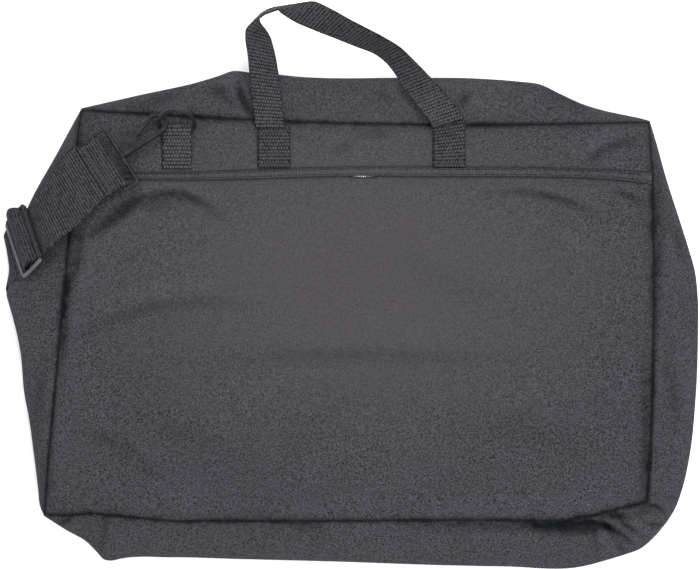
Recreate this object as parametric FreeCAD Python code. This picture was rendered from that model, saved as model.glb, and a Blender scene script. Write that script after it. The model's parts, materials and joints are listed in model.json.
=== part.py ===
import FreeCAD, Part
import math
import os
from FreeCAD import Vector

# Soft carrying bag for a folding stand, lying on its back with its gussets spread.
# Millimetres. +Z is up out of the front face, +Y runs to the handle edge, +X to the right.
# The origin is the middle of the footprint, on the surface that the bag lies on.

# ---- Overall sizes of the sewn face --------------------------------------------------
TOP_WIDTH = 507.0            # front face along its top seam
BOTTOM_WIDTH = 538.0         # front face along its bottom seam
FACE_HEIGHT = 349.5          # front face, top seam to bottom seam
TOP_SHIFT = 13.4             # middle of the top seam, right of the origin
BOTTOM_SHIFT = -4.0          # middle of the bottom seam
FACE_CENTRE_Y = -24.7
SKEW = 5.5                   # how much higher and lower the left side reaches

# ---- Heights above the surface that the bag lies on ----------------------------------
SEAM_Z = 34.0                # front seam
CORNER_DROP = 7.0            # front seam sinks this much at the corners
CORNER_REACH = 0.15          # share of a side over which it sinks
CROWN = 5.0                  # front panel rises this much over its seams
RIDGE_Z = 17.0               # fold along the middle of the gussets
RIM_Z = 3.0                  # underside of the back panel's edge
BACK_LIFT = 4.0              # back panel over the folded strap
HOOK_LIFT = 15.5             # back panel over the rear ring and hook
LIFT_BESIDE_RING = 35.5      # middle of that raised place, left of the rear ring's middle
LIFT_ABOVE_ZIP = 0.2         # the same middle, above the zip's line
LIFT_HALF_X = 70.0
LIFT_HALF_Y = 48.0

# ---- Cloth, binding and webbing -------------------------------------------------------
SKIN = 1.5                   # cloth with its lining
SEAM_GAP = 1.4               # each cloth edge stays this far from the seam line
BINDING = 2.6                # bound seam, width and height
SEAT = 0.1                   # gap between pieces sewn on each other
STRAP_WIDTH = 50.8
HANDLE_WIDTH = 29.0
TAB_WIDTH = 26.5
WEB = 1.8                    # webbing thickness
SLACK = 0.4                  # between webbing and the bar it turns round

# ---- Zip -------------------------------------------------------------------------------
ZIP_DOWN = 52.25             # middle line of the zip below the middle of the top seam
ZIP_INSET_LEFT = 9.37        # zip's ends in from the side seams
ZIP_INSET_RIGHT = 9.78
TAPE_OVER_SEAM = 0.2         # tape's upper face above the front seam
TAPE_THICK = 0.8
TAPE_WIDTH = 12.0
COIL_GAP = 0.8               # coil's inner face to the middle line
COIL_WIDTH = 1.8
COIL_HEIGHT = 1.9
SLIDER_IN = 9.6              # slider's middle from the tape's left end
SLIDER_LENGTH = 11.0
SLIDER_WIDTH = 7.6
SLIDER_PLATE = 0.8
SLIDER_CLEAR = 0.25
POST = 0.9
PULL_PIN_R = 0.6
PULL_CLEAR = 0.05
PULL_EYE_R = 1.35
PULL_LENGTH = 24.0
PULL_WIDTH = 6.0
PULL_THICK = 1.3
STOP_LENGTH = 3.0
FLAP_OVER_SEAM = 7.6         # flap's upper face above the front seam
FLAP_REACH = 3.9             # flap's free edge below the zip's middle line
YOKE_REACH = 5.9             # yoke's edge above the zip's middle line
PANEL_REACH = 4.4            # panel's edge below the zip's middle line
CLOTH = 1.2                  # one turned layer of cloth, as in the flap
PATCH_UP = 7.2               # sewn tabs and handle ends start this far above the zip's line

# ---- Rings and hooks ---------------------------------------------------------------------
RING_WIRE = 3.5
RING_HALF = 15.5             # bar's half length, wire centre to wire centre
RING_HEIGHT = 23.0
RING_SIDE = 4.0              # straight part beside the bar
RING_INSET = 86.6            # front ring's middle from the face's upper left corner
REAR_RING_INSET = 113.4      # rear ring's middle from the face's upper right corner
LOOP_BAR = 4.0               # hook loop's bar
LOOP_DEPTH = 13.0            # between its two long bars
STUD_R = 1.6
STUD_HEAD_R = 2.6
SWIVEL_CLEAR = 0.05
BOSS_R = 4.2
BOSS_START = 3.2
BOSS_END = 12.0
HOOK_THICK = 4.0
JAW_X = 41.5                 # middle of the jaw from the loop's near bar
JAW_Y = 6.5
JAW_IN = 6.4
JAW_OUT = 10.2
LIMB_IN_JAW = 2.2            # ring's wire beyond the jaw's middle, towards its tip
NOSE_ANGLE = 95.0
GATE_PIN_X = 16.0
GATE_PIN_Y = 6.6
GATE_PIN_R = 1.0
GATE_WIDTH = 3.0
GATE_KNOB_X = 28.5

# ---- Slide adjuster ----------------------------------------------------------------------
SLIDE_LENGTH = 35.0
SLIDE_BAR = 4.0
SLIDE_THICK = 3.0
SLIDE_SIDE = 4.0
SLIDE_ROOM = 0.8             # webbing's play in the slot at each edge
SLIDE_DOWN = 116.75          # slide's middle below the face's upper left corner
SLIDE_OUT = 14.54            # slide's middle out from the left gusset's fold
SLIDE_Z = 28.0               # slide's middle above the surface that the bag lies on

STATIONS = 12                # divisions along each side of the bag
EDGE = 0.015                 # share of the face's width over which the cloth dips to the side seams


# ---- Plain solids ------------------------------------------------------------------------
def block(x0, x1, y0, y1, z0, z1):
    """Box from its two corners."""
    return Part.makeBox(x1 - x0, y1 - y0, z1 - z0, Vector(x0, y0, z0))


def rod(start, end, radius):
    """Round bar between two points."""
    run = end - start
    return Part.makeCylinder(radius, run.Length, start, run)


def skin_faces(quad):
    """One flat face for a flat quad, otherwise two triangles."""
    a, b, c, d = quad
    normal = (b - a).cross(d - a)
    if normal.Length > 1e-9 and abs(normal.dot(c - a)) / normal.Length < 1e-7:
        return [Part.Face(Part.makePolygon([a, b, c, d, a]))]
    return [Part.Face(Part.makePolygon([a, b, c, a])), Part.Face(Part.makePolygon([a, c, d, a]))]


def sheet_solid(columns):
    """Closed solid from cross-sections, each a row of outer points over a row of inner points."""
    faces = []
    rows = len(columns[0][0])
    for (outer_a, inner_a), (outer_b, inner_b) in zip(columns, columns[1:]):
        for j in range(rows - 1):
            faces += skin_faces([outer_a[j], outer_b[j], outer_b[j + 1], outer_a[j + 1]])
            faces += skin_faces([inner_a[j], inner_a[j + 1], inner_b[j + 1], inner_b[j]])
        faces += skin_faces([outer_a[0], inner_a[0], inner_b[0], outer_b[0]])
        faces += skin_faces([outer_a[-1], outer_b[-1], inner_b[-1], inner_a[-1]])
    for (outer, inner), flip in ((columns[0], False), (columns[-1], True)):
        for j in range(rows - 1):
            quad = [outer[j], outer[j + 1], inner[j + 1], inner[j]]
            faces += skin_faces(quad[::-1] if flip else quad)
    shell = Part.makeShell(faces)
    shell.sewShape()
    solid = Part.makeSolid(shell)
    if solid.Volume < 0:
        solid.reverse()
    return solid


def ribbon(stations, width, thick):
    """Flat webbing through stations, each a centre, a width direction and a face normal."""
    columns = []
    for centre, across, normal in stations:
        half = Vector(across).normalize() * (width / 2)
        rise = Vector(normal).normalize() * (thick / 2)
        columns.append(([centre - half + rise, centre + half + rise],
                        [centre - half - rise, centre + half - rise]))
    return sheet_solid(columns)


def ribbon_along(points, acrosses, width, thick):
    """Webbing through points: the normals come from the run and the width direction."""
    stations = []
    for i, (point, across) in enumerate(zip(points, acrosses)):
        run = points[min(i + 1, len(points) - 1)] - points[max(i - 1, 0)]
        stations.append((point, across, run.cross(across)))
    return ribbon(stations, width, thick)


# ---- The bag's seams and ridges ----------------------------------------------------------
HALF_HEIGHT = FACE_HEIGHT / 2
TOP_LEFT = Vector(TOP_SHIFT - TOP_WIDTH / 2, FACE_CENTRE_Y + HALF_HEIGHT + SKEW, 0)
TOP_RIGHT = Vector(TOP_SHIFT + TOP_WIDTH / 2, FACE_CENTRE_Y + HALF_HEIGHT - SKEW, 0)
BOTTOM_RIGHT = Vector(BOTTOM_SHIFT + BOTTOM_WIDTH / 2, FACE_CENTRE_Y - HALF_HEIGHT + SKEW, 0)
BOTTOM_LEFT = Vector(BOTTOM_SHIFT - BOTTOM_WIDTH / 2, FACE_CENTRE_Y - HALF_HEIGHT - SKEW, 0)

# ---- Places that follow the face ---------------------------------------------------------
ZIP_Y = FACE_CENTRE_Y + HALF_HEIGHT - ZIP_DOWN
TAPE_TOP = SEAM_Z + TAPE_OVER_SEAM
FLAP_TOP = SEAM_Z + FLAP_OVER_SEAM
RING_X = TOP_LEFT.x + RING_INSET
REAR_RING_X = TOP_RIGHT.x - REAR_RING_INSET
LIFT_X = REAR_RING_X - LIFT_BESIDE_RING
LIFT_Y = ZIP_Y + LIFT_ABOVE_ZIP
SLIDE_Y = TOP_LEFT.y - SLIDE_DOWN

# side: first corner, last corner, bow outward, gusset's reach, share of the side over which it
# widens from the first corner and narrows to the last, spread at the first and last corner
NO_SPREAD = Vector(0, 0, 0)
RIGHT_SPREAD = Vector(15, -20, 0)
SIDES = {
    "top": (TOP_LEFT, TOP_RIGHT, -7.0, 40.0, 0.24, 0.20, NO_SPREAD, NO_SPREAD),
    "right": (TOP_RIGHT, BOTTOM_RIGHT, 4.5, 39.5, 0.42, 0.24, NO_SPREAD, RIGHT_SPREAD),
    "bottom": (BOTTOM_RIGHT, BOTTOM_LEFT, 10.0, 41.5, 0.10, 0.10, RIGHT_SPREAD, NO_SPREAD),
    "left": (BOTTOM_LEFT, TOP_LEFT, 0.0, 43.0, 0.50, 0.58, NO_SPREAD, NO_SPREAD),
}
STRAP_CROSSING_Y = SLIDE_Y - 16.8             # middle of the stretch of the left rim that the strap lifts
STRAP_CROSSING_HALF = STRAP_WIDTH / 2 + 36.6


def ramp(share):
    """Straight rise from 0 to 1."""
    return min(1.0, max(0.0, share))


def outward(side, t):
    """Plan direction out of the bag, turned to the corner's diagonal at the two ends."""
    first, last = SIDES[side][0], SIDES[side][1]
    run = (last - first).normalize()
    out = Vector(-run.y, run.x, 0)
    middle = (TOP_LEFT + BOTTOM_RIGHT) * 0.5
    if t <= 0.0:
        out = (first - middle).normalize()
    if t >= 1.0:
        out = (last - middle).normalize()
    return out


def seam(side, t):
    """Plan point on the seam line."""
    first, last, bow = SIDES[side][0:3]
    run = (last - first).normalize()
    return first + (last - first) * t + Vector(-run.y, run.x, 0) * (bow * 4 * t * (1 - t))


def seam_height(t):
    """Height of the front seam."""
    return SEAM_Z - CORNER_DROP * (1 - ramp(min(t, 1 - t) / CORNER_REACH))


def rim_height(point):
    """Height of the back panel's edge, lifted where the strap passes under the left side."""
    if point.x > 0:
        return RIM_Z
    away = abs(point.y - STRAP_CROSSING_Y) / STRAP_CROSSING_HALF
    return RIM_Z + (2 * WEB + 3 * SLACK) * ramp(2.2 * (1 - away))


def ridge(side, t):
    """Plan point on the gusset's fold."""
    reach, widen, narrow, spread_first, spread_last = SIDES[side][3:8]
    open_share = ramp(t / widen) * ramp((1 - t) / narrow)
    first, last = SIDES[side][0], SIDES[side][1]
    run = (last - first).normalize()
    out = Vector(-run.y, run.x, 0) * (reach * open_share + 2.0)
    spread = spread_first * (1 - ramp(t / widen)) + spread_last * (1 - ramp((1 - t) / narrow))
    if t <= 0.0 or t >= 1.0:
        out = outward(side, t) * 2.8
    return seam(side, t) + out + spread


def at(point, z):
    """Plan point at a height."""
    return Vector(point.x, point.y, z)


def shares(count):
    """Even steps from 0 to 1."""
    return [i / count for i in range(count + 1)]


def gusset(side):
    """Folded side strip: front seam, ridge and back seam."""
    columns = []
    for t in shares(STATIONS):
        out = outward(side, t)
        edge = seam(side, t) + out * SEAM_GAP
        fold = ridge(side, t) + out * SEAM_GAP
        top, low = seam_height(t), rim_height(edge)
        outer = [at(edge, top), at(fold, RIDGE_Z), at(edge, low)]
        inner = [at(edge, top - SKIN), at(fold - out * 2 * SKIN, RIDGE_Z), at(edge, low + SKIN)]
        columns.append((outer, inner))
    return sheet_solid(columns)


def binding(side, front):
    """Bound seam along one side, on the front or the back."""
    columns = []
    for t in shares(STATIONS):
        out = outward(side, t) * (BINDING / 2)
        line = seam(side, t)
        if front:
            low = seam_height(t) + SEAT
        else:
            low = rim_height(line) - RIM_Z
        high = low + BINDING
        columns.append(([at(line - out, high), at(line + out, high)],
                        [at(line - out, low), at(line + out, low)]))
    return sheet_solid(columns)


def side_crossing(side, y):
    """Point where a side's seam line meets a height line, by halving."""
    low, high = 0.0, 1.0
    falling = seam(side, 0).y > seam(side, 1).y
    for _ in range(40):
        middle = (low + high) / 2
        if (seam(side, middle).y > y) == falling:
            low = middle
        else:
            high = middle
    return seam(side, (low + high) / 2), seam_height((low + high) / 2)


ZIP_LEFT = side_crossing("left", ZIP_Y)[0].x + ZIP_INSET_LEFT
ZIP_RIGHT = side_crossing("right", ZIP_Y)[0].x - ZIP_INSET_RIGHT
SLIDER_X = ZIP_LEFT + SLIDER_IN


def inset(point, amount):
    """Plan point drawn in towards the middle of the face."""
    middle = Vector((TOP_SHIFT + BOTTOM_SHIFT) / 2, FACE_CENTRE_Y, 0)
    return point + Vector(math.copysign(amount, middle.x - point.x),
                          math.copysign(amount, middle.y - point.y), 0)


def edge_share(u):
    """How far in from the left and right seams, from 0 to 1."""
    return ramp(min(u, 1 - u) / EDGE)


def face_panel(upper, lower, plateau):
    """Front cloth between two lines, each a function of u giving a point with its height."""
    columns = []
    for u in (0.0, EDGE, 0.08, 0.18, 0.32, 0.5, 0.68, 0.82, 0.92, 1 - EDGE, 1.0):
        outer = []
        for s in (0.0, 0.2, 0.5, 0.8, 1.0):
            point = upper(u) * (1 - s) + lower(u) * s
            outer.append(point + Vector(0, 0, plateau * edge_share(u) * 4 * s * (1 - s)))
        columns.append((outer, [p - Vector(0, 0, SKIN) for p in outer]))
    return sheet_solid(columns)


def zip_line(y, height):
    """Straight line across the face at y, that dips to the side seams at its ends."""
    left, left_z = side_crossing("left", y)
    right, right_z = side_crossing("right", y)

    def point(u):
        x = (left.x + SEAM_GAP) * (1 - u) + (right.x - SEAM_GAP) * u
        side_z = left_z if u < 0.5 else right_z
        return Vector(x, y, side_z + (height - side_z) * edge_share(u))
    return point


def seam_line(side, reverse):
    """Cloth edge along a seam, SEAM_GAP inside it."""
    def point(u):
        t = 1 - u if reverse else u
        return at(inset(seam(side, t), SEAM_GAP), seam_height(t))
    return point


def back_height(x, y):
    """Underside of the back panel away from its rim."""
    away = math.hypot((x - LIFT_X) / LIFT_HALF_X, (y - LIFT_Y) / LIFT_HALF_Y)
    return RIM_Z + BACK_LIFT + (HOOK_LIFT - BACK_LIFT) * ramp(1.9 - away)


def back_panel():
    """Back cloth: its rim rests, its middle is lifted by what lies under it."""
    columns = []
    raised = (LIFT_X - TOP_LEFT.x) / TOP_WIDTH
    for u in (0.0, 0.08, 0.2, 0.35, 0.5, raised - 0.0863, raised + 0.0137, raised + 0.0937, 0.88, 0.95, 1.0):
        outer = []
        for v in (0.0, 0.05, 0.12, 0.2, 0.28, 0.4, 0.55, 0.7, 0.9, 1.0):
            top, low = seam("top", u), seam("bottom", 1 - u)
            left, right = seam("left", 1 - v), seam("right", v)
            across = left * (1 - u) + right * u
            straight = (TOP_LEFT * (1 - u) + TOP_RIGHT * u) * (1 - v) + \
                (BOTTOM_LEFT * (1 - u) + BOTTOM_RIGHT * u) * v
            plan = top * (1 - v) + low * v + across - straight
            on_rim = u in (0.0, 1.0) or v in (0.0, 1.0)
            plan = inset(plan, SEAM_GAP) if on_rim else plan
            height = rim_height(plan) if on_rim else back_height(plan.x, plan.y)
            outer.append(at(plan, height))
        columns.append(([p + Vector(0, 0, SKIN) for p in outer], outer))
    return sheet_solid(columns)


# ---- Hook, loop and ring, in the hook's own frame -----------------------------------------
# The near bar of the loop is on the frame's Y axis and the shank runs along +X.
def hook_loop(inner_width):
    """Rectangular loop that carries the webbing, with the swivel's headed stud."""
    half = inner_width / 2 + LOOP_BAR / 2
    r = LOOP_BAR / 2
    corners = [Vector(0, -half, 0), Vector(0, half, 0),
               Vector(-LOOP_DEPTH, half, 0), Vector(-LOOP_DEPTH, -half, 0)]
    shape = Part.makeSphere(r, corners[0])
    for a, b in zip(corners, corners[1:] + corners[:1]):
        shape = shape.fuse([rod(a, b, r), Part.makeSphere(r, b)])
    collar = rod(Vector(0, 0, 0), Vector(BOSS_START - 0.4, 0, 0), BOSS_R - 0.4)
    stud = rod(Vector(0, 0, 0), Vector(BOSS_START + 4.6, 0, 0), STUD_R)
    head = rod(Vector(BOSS_START + 4.4, 0, 0), Vector(BOSS_START + 6.2, 0, 0), STUD_HEAD_R)
    return shape.fuse([collar, stud, head]).removeSplitter()


def hook_body():
    """Cast hook: swivel boss, cheek for the gate, straight shank and round jaw."""
    t = HOOK_THICK / 2
    boss = rod(Vector(BOSS_START, 0, 0), Vector(BOSS_END, 0, 0), BOSS_R)
    low = JAW_Y - JAW_OUT
    shank = block(BOSS_END - 3, JAW_X, low, JAW_Y - JAW_IN, -t, t)
    cheek = block(BOSS_END - 3, GATE_PIN_X + 3.2, low, GATE_PIN_Y + 2.6, -t, t)
    jaw = Vector(JAW_X, JAW_Y, -t)
    ring = Part.makeCylinder(JAW_OUT, HOOK_THICK, jaw, Vector(0, 0, 1), 90 + NOSE_ANGLE)
    ring = ring.cut(Part.makeCylinder(JAW_IN, HOOK_THICK + 2, Vector(JAW_X, JAW_Y, -t - 1)))
    ring.rotate(Vector(JAW_X, JAW_Y, 0), Vector(0, 0, 1), -90)
    nose = math.radians(NOSE_ANGLE)
    middle = (JAW_IN + JAW_OUT) / 2
    tip = Part.makeCylinder((JAW_OUT - JAW_IN) / 2, HOOK_THICK,
                            Vector(JAW_X + middle * math.cos(nose), JAW_Y + middle * math.sin(nose), -t))
    body = boss.fuse([shank, cheek, ring, tip])
    bore = rod(Vector(BOSS_START - 1, 0, 0), Vector(BOSS_START + 4.2, 0, 0), STUD_R + SWIVEL_CLEAR)
    pocket = rod(Vector(BOSS_START + 4.0, 0, 0), Vector(BOSS_START + 6.6, 0, 0), STUD_HEAD_R + 0.2)
    slot = block(GATE_PIN_X - 3.4, GATE_PIN_X + 4, low + 3.8, GATE_PIN_Y + 4, -1.25, 1.25)
    pin_hole = Part.makeCylinder(GATE_PIN_R, HOOK_THICK + 2, Vector(GATE_PIN_X, GATE_PIN_Y, -t - 1))
    return body.cut([bore, pocket, slot, pin_hole]).removeSplitter()


def gate_line():
    """Gate's run from its pin to the nose."""
    nose = math.radians(NOSE_ANGLE)
    middle = (JAW_IN + JAW_OUT) / 2
    end = Vector(JAW_X + middle * math.cos(nose), JAW_Y + middle * math.sin(nose), 0)
    start = Vector(GATE_PIN_X, GATE_PIN_Y, 0)
    run = end - start
    stop = run.Length - (JAW_OUT - JAW_IN) / 2 - 0.4
    return start, run.normalize(), stop


def hook_gate():
    """Sprung gate with its thumb knob, turning on the pin."""
    start, run, length = gate_line()
    side = Vector(-run.y, run.x, 0)
    half = GATE_WIDTH / 2
    corners = [start + side * half, start + run * length + side * half,
               start + run * length - side * half, start - side * half]
    depth = 2.1
    outline = Part.Face(Part.makePolygon(corners + corners[:1]))
    bar = outline.extrude(Vector(0, 0, depth))
    bar.translate(Vector(0, 0, -depth / 2))
    eye = Part.makeCylinder(half, depth, Vector(start.x, start.y, -depth / 2))
    knob_at = start + run * (GATE_KNOB_X - GATE_PIN_X) + side * (half - 0.4)
    knob = rod(knob_at, knob_at + side * 3.2, 1.0).fuse(Part.makeSphere(1.6, knob_at + side * 3.2))
    hole = Part.makeCylinder(GATE_PIN_R + 0.05, 6, Vector(start.x, start.y, -3))
    return bar.fuse([eye, knob]).cut(hole).removeSplitter()


def gate_pin():
    """Pin through the hook's two cheeks."""
    return Part.makeCylinder(GATE_PIN_R, HOOK_THICK, Vector(GATE_PIN_X, GATE_PIN_Y, -HOOK_THICK / 2))


def gate_spring():
    """Folded leaf spring under the gate, in the hook's slot."""
    start = Vector(GATE_PIN_X - 2.8, GATE_PIN_Y - 3.2, -0.9)
    leaf = block(start.x, start.x + 11, start.y - 0.9, start.y - 0.5, start.z, start.z + 1.8)
    return leaf


def d_ring():
    """Welded ring: straight bar on the X axis, bow towards +Y."""
    r = RING_WIRE / 2
    low_left, low_right = Vector(-RING_HALF, 0, 0), Vector(RING_HALF, 0, 0)
    left, right = Vector(-RING_HALF, RING_SIDE, 0), Vector(RING_HALF, RING_SIDE, 0)
    arc = Part.Arc(left, Vector(0, RING_HEIGHT, 0), right).toShape()
    tangent = arc.tangentAt(arc.FirstParameter)
    circle = Part.Wire(Part.Edge(Part.Circle(left, tangent, r)))
    bow = Part.Wire(arc).makePipe(Part.Face(circle))
    pieces = [rod(low_left, left, r), rod(low_right, right, r), Part.makeSphere(r, low_left),
              Part.makeSphere(r, low_right), Part.makeSphere(r, left), Part.makeSphere(r, right), bow]
    return rod(low_left, low_right, r).fuse(pieces).removeSplitter()


# ---- Places of the rings, hooks and slide ---------------------------------------------------
# The front hook lies over the yoke with its jaw round the ring's left limb. The rear set is
# under the back panel at the right, flatter, with its ring leaning down.
TAB_LOW = ZIP_Y + PATCH_UP   # sewn tab's lower edge, on the yoke
TAB_LENGTH = 25.0
RING_OFF = 33.6              # ring's bar beyond the tab's lower edge
RING_CLEAR = 5.9             # ring's bar above the cloth at the tab
RING_LEAN = 50.0
HOOK_TURN = 32.4
HOOK_ROLL = -14.0
REAR_TAB_LOW = ZIP_Y - 23.8
REAR_RING_LEAN = -24.0
REAR_HOOK_TURN = 13.0
REAR_HOOK_ROLL = 30.0
LIMB_Y = 7.5                 # where the jaw holds the ring, up from the bar
LOOP_WIDTH = STRAP_WIDTH + 2 * SLACK
YOKE_EDGE_Y = ZIP_Y + YOKE_REACH
YOKE_EDGE_Z = FLAP_TOP - 2.0
YOKE_PLATEAU = 1.2
CLOTH_GAP = 0.4              # sewn webbing stands this far off the faceted cloth


def yoke_height(x, y):
    """Height of the yoke's upper face."""
    u = (x - TOP_LEFT.x) / TOP_WIDTH
    top = seam("top", u)
    s = (top.y - y) / (top.y - YOKE_EDGE_Y)
    return seam_height(u) * (1 - s) + YOKE_EDGE_Z * s + YOKE_PLATEAU * 4 * s * (1 - s)


RING_AT = Vector(RING_X, TAB_LOW + RING_OFF, yoke_height(RING_X, TAB_LOW + RING_OFF) + RING_CLEAR)
REAR_RING_AT = Vector(REAR_RING_X, REAR_TAB_LOW + RING_OFF, RIM_Z + HOOK_LIFT - RING_CLEAR + 0.4)


def placed(shape, turn, roll, where):
    """Roll about the shank, turn in plan, then move."""
    copy = shape.copy()
    copy.rotate(Vector(0, 0, 0), Vector(1, 0, 0), roll)
    copy.rotate(Vector(0, 0, 0), Vector(0, 0, 1), turn)
    copy.translate(where)
    return copy


def hook_origin(ring_at, lean, turn, roll):
    """Place of a hook whose jaw is centred on the ring's left limb."""
    lean, turn, roll = math.radians(lean), math.radians(turn), math.radians(roll)
    limb = ring_at + Vector(-RING_HALF, LIMB_Y * math.cos(lean), LIMB_Y * math.sin(lean))
    side = Vector(-math.sin(turn) * math.cos(roll), math.cos(turn) * math.cos(roll), math.sin(roll))
    return limb - Vector(math.cos(turn), math.sin(turn), 0) * (JAW_X + LIMB_IN_JAW) - side * JAW_Y


HOOK_AT = hook_origin(RING_AT, RING_LEAN, HOOK_TURN, HOOK_ROLL)
REAR_HOOK_AT = hook_origin(REAR_RING_AT, REAR_RING_LEAN, REAR_HOOK_TURN, REAR_HOOK_ROLL)


def from_loop(at_hook, turn, x, z):
    """Point in a hook's plan frame."""
    angle = math.radians(turn)
    return at_hook + Vector(x * math.cos(angle), x * math.sin(angle), z)


def hung(shape, lean, where):
    """Lean about the ring's bar, then move."""
    copy = shape.copy()
    copy.rotate(Vector(0, 0, 0), Vector(1, 0, 0), lean)
    copy.translate(where)
    return copy


def tab(ring_at, low_y, cloth_z, up):
    """Sewn tab: doubled webbing whose fold is a sleeve round the ring's bar."""
    half = TAB_WIDTH / 2
    sleeve_r = RING_WIRE / 2 + SLACK + WEB
    end_y = low_y + TAB_LENGTH
    thick = 2 * WEB * up
    gap = CLOTH_GAP * up
    low_a, low_b = cloth_z(low_y) + gap, cloth_z(end_y) + gap
    outline = [(low_y, low_a), (end_y, low_b), (ring_at.y, ring_at.z - sleeve_r * up),
               (ring_at.y, ring_at.z + sleeve_r * up), (end_y, low_b + thick), (low_y, low_a + thick)]
    points = [Vector(ring_at.x - half, y, z) for y, z in outline]
    body = Part.Face(Part.makePolygon(points + points[:1])).extrude(Vector(TAB_WIDTH, 0, 0))
    axis_start = Vector(ring_at.x - half, ring_at.y, ring_at.z)
    sleeve = Part.makeCylinder(sleeve_r, TAB_WIDTH, axis_start, Vector(1, 0, 0))
    hole = Part.makeCylinder(sleeve_r - WEB, TAB_WIDTH + 2, axis_start - Vector(1, 0, 0), Vector(1, 0, 0))
    return body.fuse(sleeve).cut(hole)


# ---- Strap ---------------------------------------------------------------------------------
SLIDE_SHARE = (SLIDE_Y - BOTTOM_LEFT.y) / (TOP_LEFT.y - BOTTOM_LEFT.y)
SLIDE_AT = Vector(ridge("left", SLIDE_SHARE).x - SLIDE_OUT, SLIDE_Y, SLIDE_Z)
SLIDE_RUN = Vector(-0.572, -0.515, -0.638).normalize()
SLIDE_ACROSS = Vector(0.327, -0.857, 0.398).normalize()
SLIDE_ACROSS = (SLIDE_ACROSS - SLIDE_RUN * SLIDE_ACROSS.dot(SLIDE_RUN)).normalize()
SLIDE_FACE = SLIDE_RUN.cross(SLIDE_ACROSS)
FOLD_LENGTH = 14.0           # webbing turned back on itself behind a loop's bar


def on_slide(run, face):
    """Point in the slide's frame, along the webbing and off its face."""
    return SLIDE_AT + SLIDE_RUN * run + SLIDE_FACE * face


def beside_slide(x, y, z):
    """Point at a plan distance from the slide's middle, at a height over the floor."""
    return Vector(SLIDE_AT.x + x, SLIDE_AT.y + y, z)


def slide_bar(run, width):
    """One cross bar of the slide."""
    half = SLIDE_BAR / 2
    corners = [on_slide(run - half, -SLIDE_THICK / 2), on_slide(run + half, -SLIDE_THICK / 2),
               on_slide(run + half, SLIDE_THICK / 2), on_slide(run - half, SLIDE_THICK / 2)]
    corners = [c - SLIDE_ACROSS * (width / 2) for c in corners]
    return Part.Face(Part.makePolygon(corners + corners[:1])).extrude(SLIDE_ACROSS * width)


def slide_adjuster():
    """Flat frame with a centre bar, which the webbing passes over."""
    slot = STRAP_WIDTH + 2 * SLIDE_ROOM
    width = slot + 2 * SLIDE_SIDE
    end = SLIDE_LENGTH / 2 - SLIDE_BAR / 2
    frame = slide_bar(-end, width).fuse([slide_bar(0, width), slide_bar(end, width)])
    for sign in (-1, 1):
        middle = SLIDE_ACROSS * (sign * (slot + SLIDE_SIDE) / 2)
        corners = []
        for across in (-SLIDE_SIDE / 2, SLIDE_SIDE / 2):
            corners.append(on_slide(-end, -SLIDE_THICK / 2) + middle + SLIDE_ACROSS * across)
        corners += [c + SLIDE_FACE * SLIDE_THICK for c in corners[::-1]]
        side = Part.Face(Part.makePolygon(corners + corners[:1])).extrude(SLIDE_RUN * (2 * end))
        frame = frame.fuse(side)
    return frame.removeSplitter()


def loop_fold(at_hook, turn):
    """Webbing turned round a loop's far bar and lying on itself behind it."""
    outer = LOOP_BAR / 2 + SLACK + WEB
    half = STRAP_WIDTH / 2
    bar = Vector(-LOOP_DEPTH, -half, 0)
    sleeve = Part.makeCylinder(outer, STRAP_WIDTH, bar, Vector(0, 1, 0))
    hole = Part.makeCylinder(outer - WEB, STRAP_WIDTH + 2, bar - Vector(0, 1, 0), Vector(0, 1, 0))
    tail = -LOOP_DEPTH - outer - FOLD_LENGTH
    outline = [(-LOOP_DEPTH, outer), (tail + 6, WEB), (tail, WEB), (tail, -WEB), (tail + 6, -WEB),
               (-LOOP_DEPTH, -outer)]
    points = [Vector(x, -half, z) for x, z in outline]
    web = Part.Face(Part.makePolygon(points + points[:1])).extrude(Vector(0, STRAP_WIDTH, 0))
    return placed(web.fuse(sleeve).cut(hole), turn, 0, at_hook)


FOLD_END = -(LOOP_DEPTH + LOOP_BAR / 2 + SLACK + WEB + FOLD_LENGTH)
BAR_UNDER = SLIDE_THICK / 2 + SLACK + WEB / 2
BAR_OVER = SLIDE_THICK / 2 + 2 * SLACK + 1.5 * WEB
SLIDE_END = SLIDE_LENGTH / 2


def front_run():
    """Single webbing from the front loop through the slide."""
    start = from_loop(HOOK_AT, HOOK_TURN, FOLD_END - 0.05, -WEB / 2)
    angle = math.radians(HOOK_TURN)
    across = Vector(math.sin(angle), -math.cos(angle), 0)
    enter = on_slide(-SLIDE_END - 7, -BAR_UNDER - 0.4)
    middle = (start + enter) * 0.5 + Vector(0, 0, 3)
    points = [start, middle, enter, on_slide(-SLIDE_END + 3, -BAR_UNDER),
              on_slide(-SLIDE_END + 6, -BAR_UNDER + 0.6), on_slide(-4.8, BAR_OVER), on_slide(4.8, BAR_OVER),
              on_slide(SLIDE_END - 6, -BAR_UNDER + 0.6), on_slide(SLIDE_END - 3, -BAR_UNDER),
              on_slide(SLIDE_END + 0.5, -BAR_UNDER)]
    acrosses = [across, (across + SLIDE_ACROSS).normalize()] + [SLIDE_ACROSS] * 8
    return ribbon_along(points, acrosses, STRAP_WIDTH, WEB)


def sewn_end():
    """Strap's other end, sewn round the slide's centre bar."""
    under = -SLIDE_THICK / 2 - SLACK - WEB / 2
    side = SLIDE_BAR / 2 + SLACK + WEB / 2
    points = [on_slide(-side + 0.4, under), on_slide(-side, 0), on_slide(-side + 0.4, -under),
              on_slide(side - 0.4, -under), on_slide(side, 0), on_slide(side, under - 0.6),
              on_slide(SLIDE_END - 6, under - WEB - 0.3), on_slide(SLIDE_END + 0.5, under - WEB - 0.3)]
    return ribbon_along(points, [SLIDE_ACROSS] * len(points), STRAP_WIDTH, WEB)


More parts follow.
